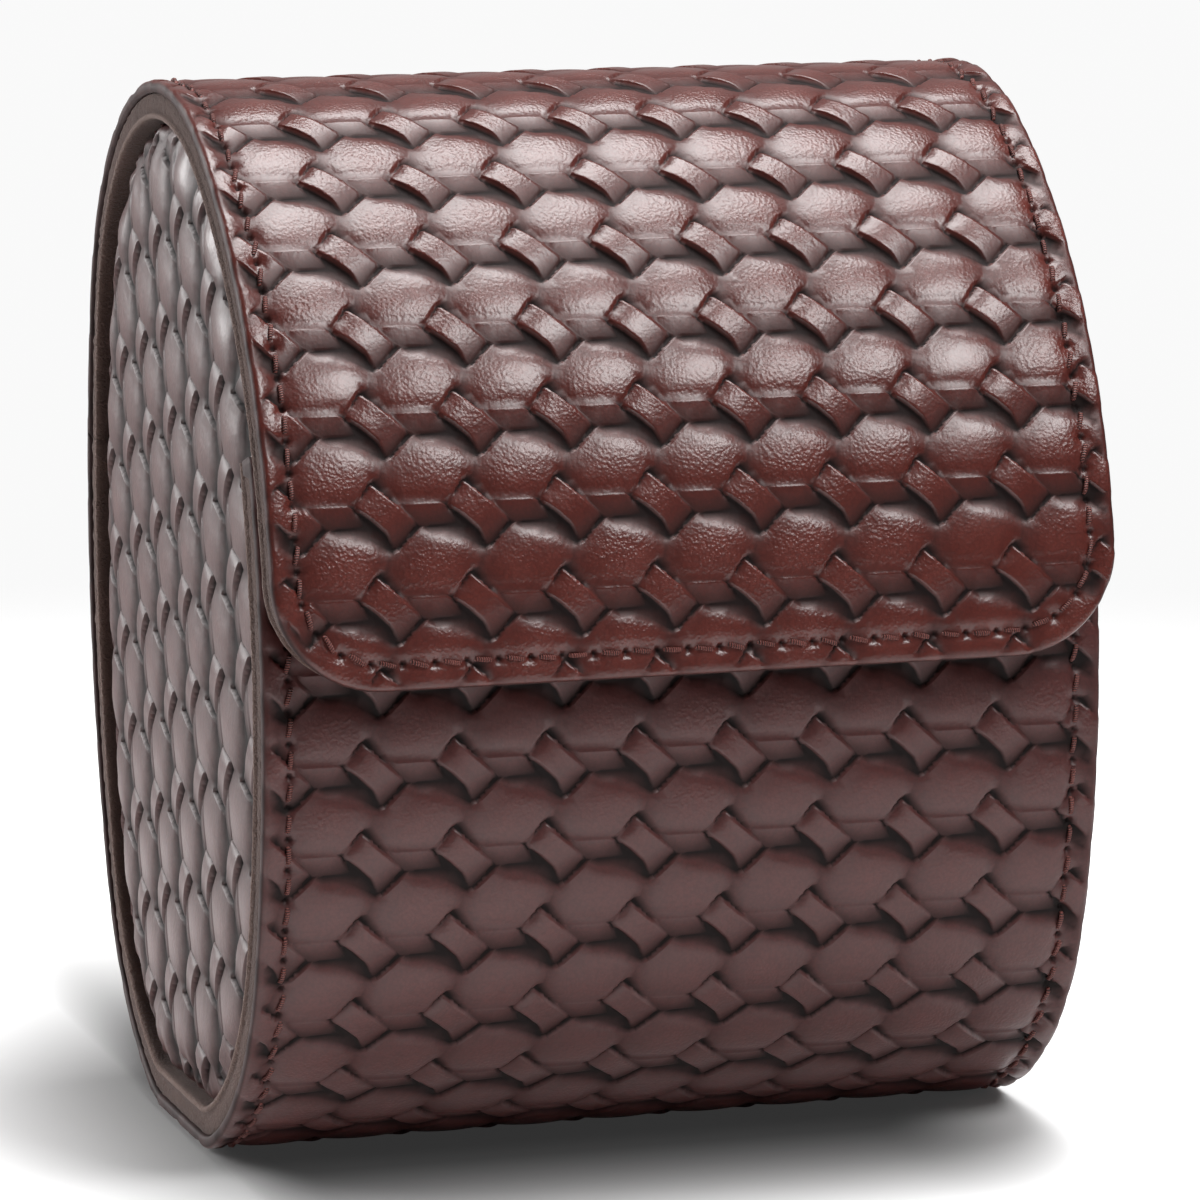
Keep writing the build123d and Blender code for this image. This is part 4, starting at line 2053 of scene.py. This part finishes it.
@dataclass(frozen=True)
class Assembly:
    """A sub-assembly, which builds its pieces and dresses them in the wardrobe's materials."""

    wardrobe: dict[Cloth, Material]

    def dress(self, piece: Piece, cloth: Cloth, finish: Finish, *nodes: str) -> None:
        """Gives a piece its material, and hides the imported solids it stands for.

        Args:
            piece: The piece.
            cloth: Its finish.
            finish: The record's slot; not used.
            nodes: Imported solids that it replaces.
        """
        piece.data.materials.clear()
        piece.data.materials.append(self.wardrobe[cloth])
        if nodes:
            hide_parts(*nodes)
        log.info("%s: %d points", piece.name, len(piece.data.vertices))


@dataclass(frozen=True)
class Tube(Assembly):
    """The case's wall: embossed leather, its sewn lines and its suede lining."""

    strip: Strip
    wall: float = 3.8 * MM
    shadow_line: float = 3.0 * MM

    def build(self) -> None:
        """Builds and dresses the wall."""
        strip, place = self.strip, self.strip.path.place
        outline = strip.case_outline()
        lines = strip.side_stitches()
        sheet = EmbossedLeather(strip.lattice, lines)
        cover = sheet.build("case_cover", outline, place)
        self.dress(cover, Cloth.CASE, Finish.CASE_LEATHER, "case_leather")
        sewing = Threads().build("case_stitches", lines, sheet.level, place)
        self.dress(sewing, Cloth.THREAD, Finish.CASE_LEATHER)
        outline = strip.case_outline(straight=True)
        depth = np.where(outline.points[:, 1] < strip.leather, self.shadow_line, strip.leather)
        lining = Lining().build("case_suede", outline.with_depth(depth), self.wall, place)
        self.dress(lining, Cloth.SUEDE, Finish.SUEDE, "case_lining")
        for piece in (cover, sewing, lining):
            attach(piece, "case")


@dataclass(frozen=True)
class Flap(Assembly):
    """The flap: embossed leather, its sewn line and its suede lining."""

    strip: Strip
    hinge: Hinge
    wall: float = 3.5 * MM
    wall_at_join: float = 3.8 * MM
    thinning: float = 12 * MM

    def place_thickening(self, flat: Array, height: Array) -> Array:
        """Places points of the lining, which meets the case's thicker wall at the fold.

        Args:
            flat: Points of the strip.
            height: Heights over the leather's outer face.

        Returns:
            The positions.
        """
        near = 1.0 - smoothstep((flat[:, 1] - self.strip.join_middle()) / self.thinning)
        more = (self.wall_at_join / self.wall - 1.0) * near
        return self.strip.path.place(flat, height * (1.0 + more))

    def build(self) -> None:
        """Builds and dresses the flap."""
        strip, place = self.strip, self.strip.path.place
        outline = strip.flap_outline()
        lines = strip.flap_stitches()
        sheet = EmbossedLeather(strip.lattice, lines)
        cover = sheet.build("flap_cover", outline, place)
        self.dress(cover, Cloth.FLAP, Finish.FLAP_LEATHER, "flap_leather")
        sewing = Threads().build("flap_stitches", lines, sheet.level, place)
        self.dress(sewing, Cloth.THREAD, Finish.FLAP_LEATHER)
        outline = strip.flap_outline(straight=True).with_depth(strip.leather)
        lining = Lining().build("flap_suede", outline, self.wall, self.place_thickening)
        self.dress(lining, Cloth.SUEDE, Finish.SUEDE, "flap_lining")
        under = Threads(lifts=(0.3, 0.02, -0.1, -0.1, 0.02, 0.3))
        inner = under.build(
            "flap_stitches_inside", lines, lambda spots: np.full(len(spots), -self.wall), place
        )
        self.dress(inner, Cloth.THREAD, Finish.SUEDE)
        for piece in (cover, sewing, lining, inner):
            self.hinge.carry(piece)


@dataclass(frozen=True)
class Ends(Assembly):
    """The two padded ends and the suede panels on their inner faces."""

    oval: StripPath
    weave: Weave
    relief: float = 0.95 * MM
    fill: float = 0.8

    def build(self) -> None:
        """Builds and dresses both ends."""
        for side in Side:
            low = side.name.lower()
            pad = PaddedEnd(self.oval, replace(self.weave, relief=self.relief)).build(side)
            solids = f"end_leather_{low}", f"end_foam_{low}"
            self.dress(pad, Cloth.END, Finish.CASE_LEATHER, *solids)
            panel = EndLining(self.oval).build(side)
            self.dress(panel, Cloth.SUEDE, Finish.SUEDE, f"end_lining_{low}")
            for piece in (pad, panel):
                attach(piece, "case")


@dataclass(frozen=True)
class Cushion(Assembly):
    """Lift-out pillow that the watch is strapped round: suede over foam, sewn at both ends."""

    shrink: float = 1.1 * MM
    voxel: float = 1.5 * MM
    most: float = 1.2 * MM
    pressure: float = 4.0
    steps: int = 14
    seam_depth: float = 0.9 * MM
    seam_width: float = 1.1 * MM
    draw_depth: float = 0.5 * MM
    draw_width: float = 5 * MM
    puckers: int = 34
    end_depth: float = 2.2 * MM
    edge: float = 2.2 * MM
    fill: float = 0.85

    def build(self) -> None:
        """Builds and dresses the cushion."""
        low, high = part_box("cushion_cover")
        left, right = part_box("cushion_end_left")[0].x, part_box("cushion_end_right")[1].x
        radius = (high.y - low.y) / 2 - self.shrink
        middle = Vector(((left + right) / 2, (low.y + high.y) / 2, (low.z + high.z) / 2))
        reach = (high.z - low.z) / 2 - radius - self.shrink
        length, turn = right - left - 2 * self.shrink, (0, math.pi / 2, 0)
        start_fresh()
        bpy.ops.mesh.primitive_cylinder_add(
            vertices=64, radius=radius, depth=length, location=middle, rotation=turn
        )
        piece = bpy.context.object
        piece.name = piece.data.name = "cushion"
        apply_place(piece)
        for sign in (1, -1):
            pick(piece, lambda co, sign=sign: (co.z - middle.z) * sign > radius * 0.02)
            bpy.ops.transform.translate(value=(0, 0, sign * reach))
        face_out()
        soften(piece, "soft edge", self.edge, 4)
        remesh = piece.modifiers.new("even skin", "REMESH")
        remesh.mode, remesh.voxel_size = "VOXEL", self.voxel
        apply_modifiers(piece)
        self.inflate(piece)
        self.sew(piece, left + self.end_depth, right - self.end_depth)
        smooth = piece.modifiers.new("smooth skin", "SUBSURF")
        smooth.levels = smooth.render_levels = 1
        apply_modifiers(piece)
        room = (left, low.y, low.z), (right, high.y, high.z)
        move_points(piece, np.clip(points_of(piece), *room))
        bpy.ops.object.shade_smooth()
        solids = "cushion_core", "cushion_cover", "cushion_end_left", "cushion_end_right"
        self.dress(piece, Cloth.CUSHION, Finish.CUSHION, *solids)
        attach(piece, "cushion")

    def inflate(self, piece: Piece) -> None:
        """Swells the skin by a cloth simulation, and caps how far each point moves.

        Args:
            piece: The pillow.
        """
        before = points_of(piece)
        cloth = piece.modifiers.new("stuffing", "CLOTH")
        settings = cloth.settings
        settings.quality, settings.mass = 5, 0.2
        settings.use_pressure, settings.uniform_pressure_force = True, self.pressure
        settings.effector_weights.gravity = 0
        cloth.point_cache.frame_start, cloth.point_cache.frame_end = 1, self.steps
        for step in range(1, self.steps + 1):
            bpy.context.scene.frame_set(step)
        apply_modifiers(piece)
        bpy.context.scene.frame_set(1)
        moved = points_of(piece) - before
        length = np.maximum(np.hypot(np.hypot(moved[:, 0], moved[:, 1]), moved[:, 2]), 1e-12)
        moved *= np.minimum(1, self.most / length)[:, None]
        move_points(piece, before + moved)

    def sew(self, piece: Piece, left: float, right: float) -> None:
        """Draws the skin in along the two end seams, with small puckers between stitches.

        Args:
            piece: The pillow.
            left: Place of the left seam.
            right: Place of the right seam.
        """
        normals = np.array([v.normal for v in piece.data.vertices])
        points = points_of(piece)
        away = np.minimum(np.abs(points[:, 0] - left), np.abs(points[:, 0] - right))
        y, z = (points - points.mean(0)).T[1:]
        pucker = 1 + 0.25 * np.sin(np.arctan2(z, y) * self.puckers)
        pull = self.seam_depth * bell(away, self.seam_width) * pucker
        wide = self.draw_depth * bell(away, self.draw_width)
        move_points(piece, points - normals * (pull + wide)[:, None])


@dataclass(frozen=True)
class Inside(Assembly):
    """Boards and magnets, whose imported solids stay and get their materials."""

    def build(self) -> None:
        """Puts its material in every slot of each solid."""
        cloths = {"board": Cloth.BOARD, "magnet": Cloth.MAGNET}
        for kind, cloth in cloths.items():
            for piece in (part for name, part in frame["nodes"].items() if kind in name):
                if not piece.material_slots:
                    piece.data.materials.append(None)
                for slot in piece.material_slots:
                    slot.material = self.wardrobe[cloth]
                log.info("%s keeps its solid", piece.name)


# ---- studio ----
@dataclass(frozen=True)
class Lamp:
    """A square softbox."""

    name: str
    place: Spot
    aim: Spot
    size: float
    watts: float

    def build(self) -> None:
        """Adds the lamp."""
        light = bpy.data.lights.new(self.name, "AREA")
        light.energy, light.size = self.watts, self.size
        lamp = bpy.data.objects.new(self.name, light)
        bpy.context.collection.objects.link(lamp)
        lamp.location = self.place
        lamp.rotation_euler = aim_at(Vector(self.place), Vector(self.aim))
        log.info("lamp %s", self.name)


def aim_at(place: Vector, target: Vector) -> Any:
    """Rotation that turns a lamp or camera at a place towards a target."""
    return (target - place).to_track_quat("-Z", "Y").to_euler()


@dataclass(frozen=True)
class Studio:
    """Pale floor, white surround, softboxes and camera."""

    floor_radius: float = 0.9
    pale: Tint = (248, 248, 248)
    surround: float = 0.085
    gloss_front: float = 0.02
    gloss_rear: float = 0.34
    white: float = 0.95
    camera_place: Spot = (-0.17366, -0.54191, 0.14175)
    camera_aim: Spot = (0.0, 0.002153, 0.0434)
    lens: float = 193.9
    sensor: float = 36.0
    shift: Pair = (0.01848, 0.01846)
    # The object's shadow, painted into the floor's colour: where it starts, how fast it lightens,
    # and its darkest level.
    shade_start: tuple[float, ...] = (0.036, 0.021, 0.008, 0.006)
    shade_rate: tuple[float, ...] = (20.0, 55.0, 29.0, 13.0)
    shade_edge: Pair = (0.03, 0.037)
    shade_rise: float = 0.6
    shade: float = 0.035
    fade: Pair = (0.1, 0.3)
    lamps: tuple[Lamp, ...] = (
        Lamp("overhead", (0.08, 0.04, 0.6), (0.0, 0.0, 0.04), 0.34, 4.3),
        Lamp("front", (0.26, -0.42, 0.58), (0.0, 0.0, 0.05), 0.26, 3.6),
        Lamp("left", (-0.46, 0.38, 0.2), (0.0, 0.0, 0.05), 0.32, 4.8),
    )

    def build(self) -> None:
        """Builds the studio."""
        self.floor()
        self.sky()
        for lamp in self.lamps:
            lamp.build()
        self.camera()
        bpy.context.scene.view_settings.view_transform = "Standard"

    def floor(self) -> None:
        """Adds the floor, which fades into the white surround; the camera sees the object's shadow
        painted into its colour.
        """
        start_fresh()
        bpy.ops.mesh.primitive_circle_add(
            vertices=96, radius=self.floor_radius, fill_type="NGON", location=(0, 0, -0.25 * MM)
        )
        floor = bpy.context.object
        floor.name = "floor"
        apply_place(floor)
        graph = Graph("pale floor")
        where = graph.node("ShaderNodeTexCoord", {}, {}, "Object")
        far = graph.node("ShaderNodeVectorMath", {"operation": "LENGTH"}, {0: where}, "Value")
        seen = graph.node("ShaderNodeLightPath", {}, {}, "Is Camera Ray")
        white, shade = (1, 1, 1, 1), (self.shade, self.shade, self.shade, 1)
        # Painted shadow, which only the camera sees; the lamps cast the real one too.
        outside_painted_shadow = self.outside_painted_shadow(graph, where).spread(0.25, 1.05)
        painted_shadow_level = graph.blend(outside_painted_shadow**1.4, shade, white)
        wear_and_painted_shadow = graph.blend(1.0, tone(*self.pale), painted_shadow_level, "MULTIPLY")
        colour = graph.blend(seen, tone(*self.pale), wear_and_painted_shadow)
        paper = graph.node("ShaderNodeBsdfDiffuse", {}, {"Color": colour})
        lift = graph.node("ShaderNodeEmission", {}, {"Color": white, "Strength": 0.03 * seen})
        lit = graph.node("ShaderNodeAddShader", {}, {0: paper, 1: lift})
        clear = graph.node("ShaderNodeBsdfTransparent")
        fade = far.spread(*self.fade)
        fade.socket.node.interpolation_type = "SMOOTHSTEP"
        mixed = graph.node("ShaderNodeMixShader", {}, {0: fade, 1: lit, 2: clear})
        graph.node("ShaderNodeOutputMaterial", {}, {"Surface": mixed})
        floor.data.materials.append(graph.material)
        log.info("floor")

    def outside_painted_shadow(self, graph: Graph, where: Wire) -> Wire:
        """How far the floor lies outside the object's painted soft shadow, which is 0 under the
        object.

        Args:
            graph: The floor's graph.
            where: Its coordinates.

        Returns:
            The distance, in no unit.
        """
        across, depth, _ = graph.separate(where)
        outward = (across * -1.0, across, depth * -1.0, depth)
        left, right, front, back = (
            graph.maths("MAXIMUM", (way - start) * rate, 0.0)
            for way, start, rate in zip(outward, self.shade_start, self.shade_rate)
        )
        left = left + self.shade_rise * outward[0].spread(*self.shade_edge)
        return (left**2.0 + right**2.0 + front**2.0 + back**2.0) ** 0.5

    def sky(self) -> None:
        """Lights the object evenly, and shows white to the camera and a bright rear to gloss."""
        graph = Graph("surround", world=True)
        bpy.context.scene.world = graph.material
        seen = graph.node("ShaderNodeLightPath", {}, {}, "Is Camera Ray")
        gloss = graph.node("ShaderNodeLightPath", {}, {}, "Is Glossy Ray")
        toward = graph.node("ShaderNodeTexCoord", {}, {}, "Generated")
        rear = graph.separate(toward)[1].spread(0.3, 0.9)
        gain = self.gloss_rear - self.gloss_front
        lit = self.surround + gloss * (self.gloss_front + gain * rear)
        ends = {"Value": seen, "To Min": lit, "To Max": self.white}
        level = graph.node("ShaderNodeMapRange", {}, ends)
        light = graph.node("ShaderNodeBackground", {}, {"Color": (1, 1, 1, 1), "Strength": level})
        graph.node("ShaderNodeOutputWorld", {}, {"Surface": light})
        log.info("surround")

    def camera(self) -> None:
        """Sets up the camera."""
        data = bpy.data.cameras.new("camera")
        data.lens, data.sensor_width = self.lens, self.sensor
        data.shift_x, data.shift_y = self.shift
        data.dof.use_dof = False
        camera = bpy.data.objects.new("camera", data)
        bpy.context.collection.objects.link(camera)
        camera.location = self.camera_place
        camera.rotation_euler = aim_at(Vector(self.camera_place), Vector(self.camera_aim))
        bpy.context.scene.camera = camera
        log.info("camera")


def main() -> None:
    """Builds the roll case, sub-assembly by sub-assembly, and the studio."""
    logging.basicConfig(level=logging.INFO, format="%(name)s %(message)s")
    section = Section()
    path = StripPath(section.runs(closed=False))
    oval = StripPath(section.runs(closed=True))
    weave = Weave()
    strip = Strip(path, Lattice(weave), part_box("case_leather")[1].x)
    hinge = Hinge(Vector(frame["joints"][0]["pos_m"]))
    wardrobe = {cloth: cloth.value.material() for cloth in Cloth}
    Studio().build()
    Tube(wardrobe, strip).build()
    Flap(wardrobe, strip, hinge).build()
    Ends(wardrobe, oval, weave).build()
    Cushion(wardrobe).build()
    Inside(wardrobe).build()


if __name__ == "__main__":
    main()
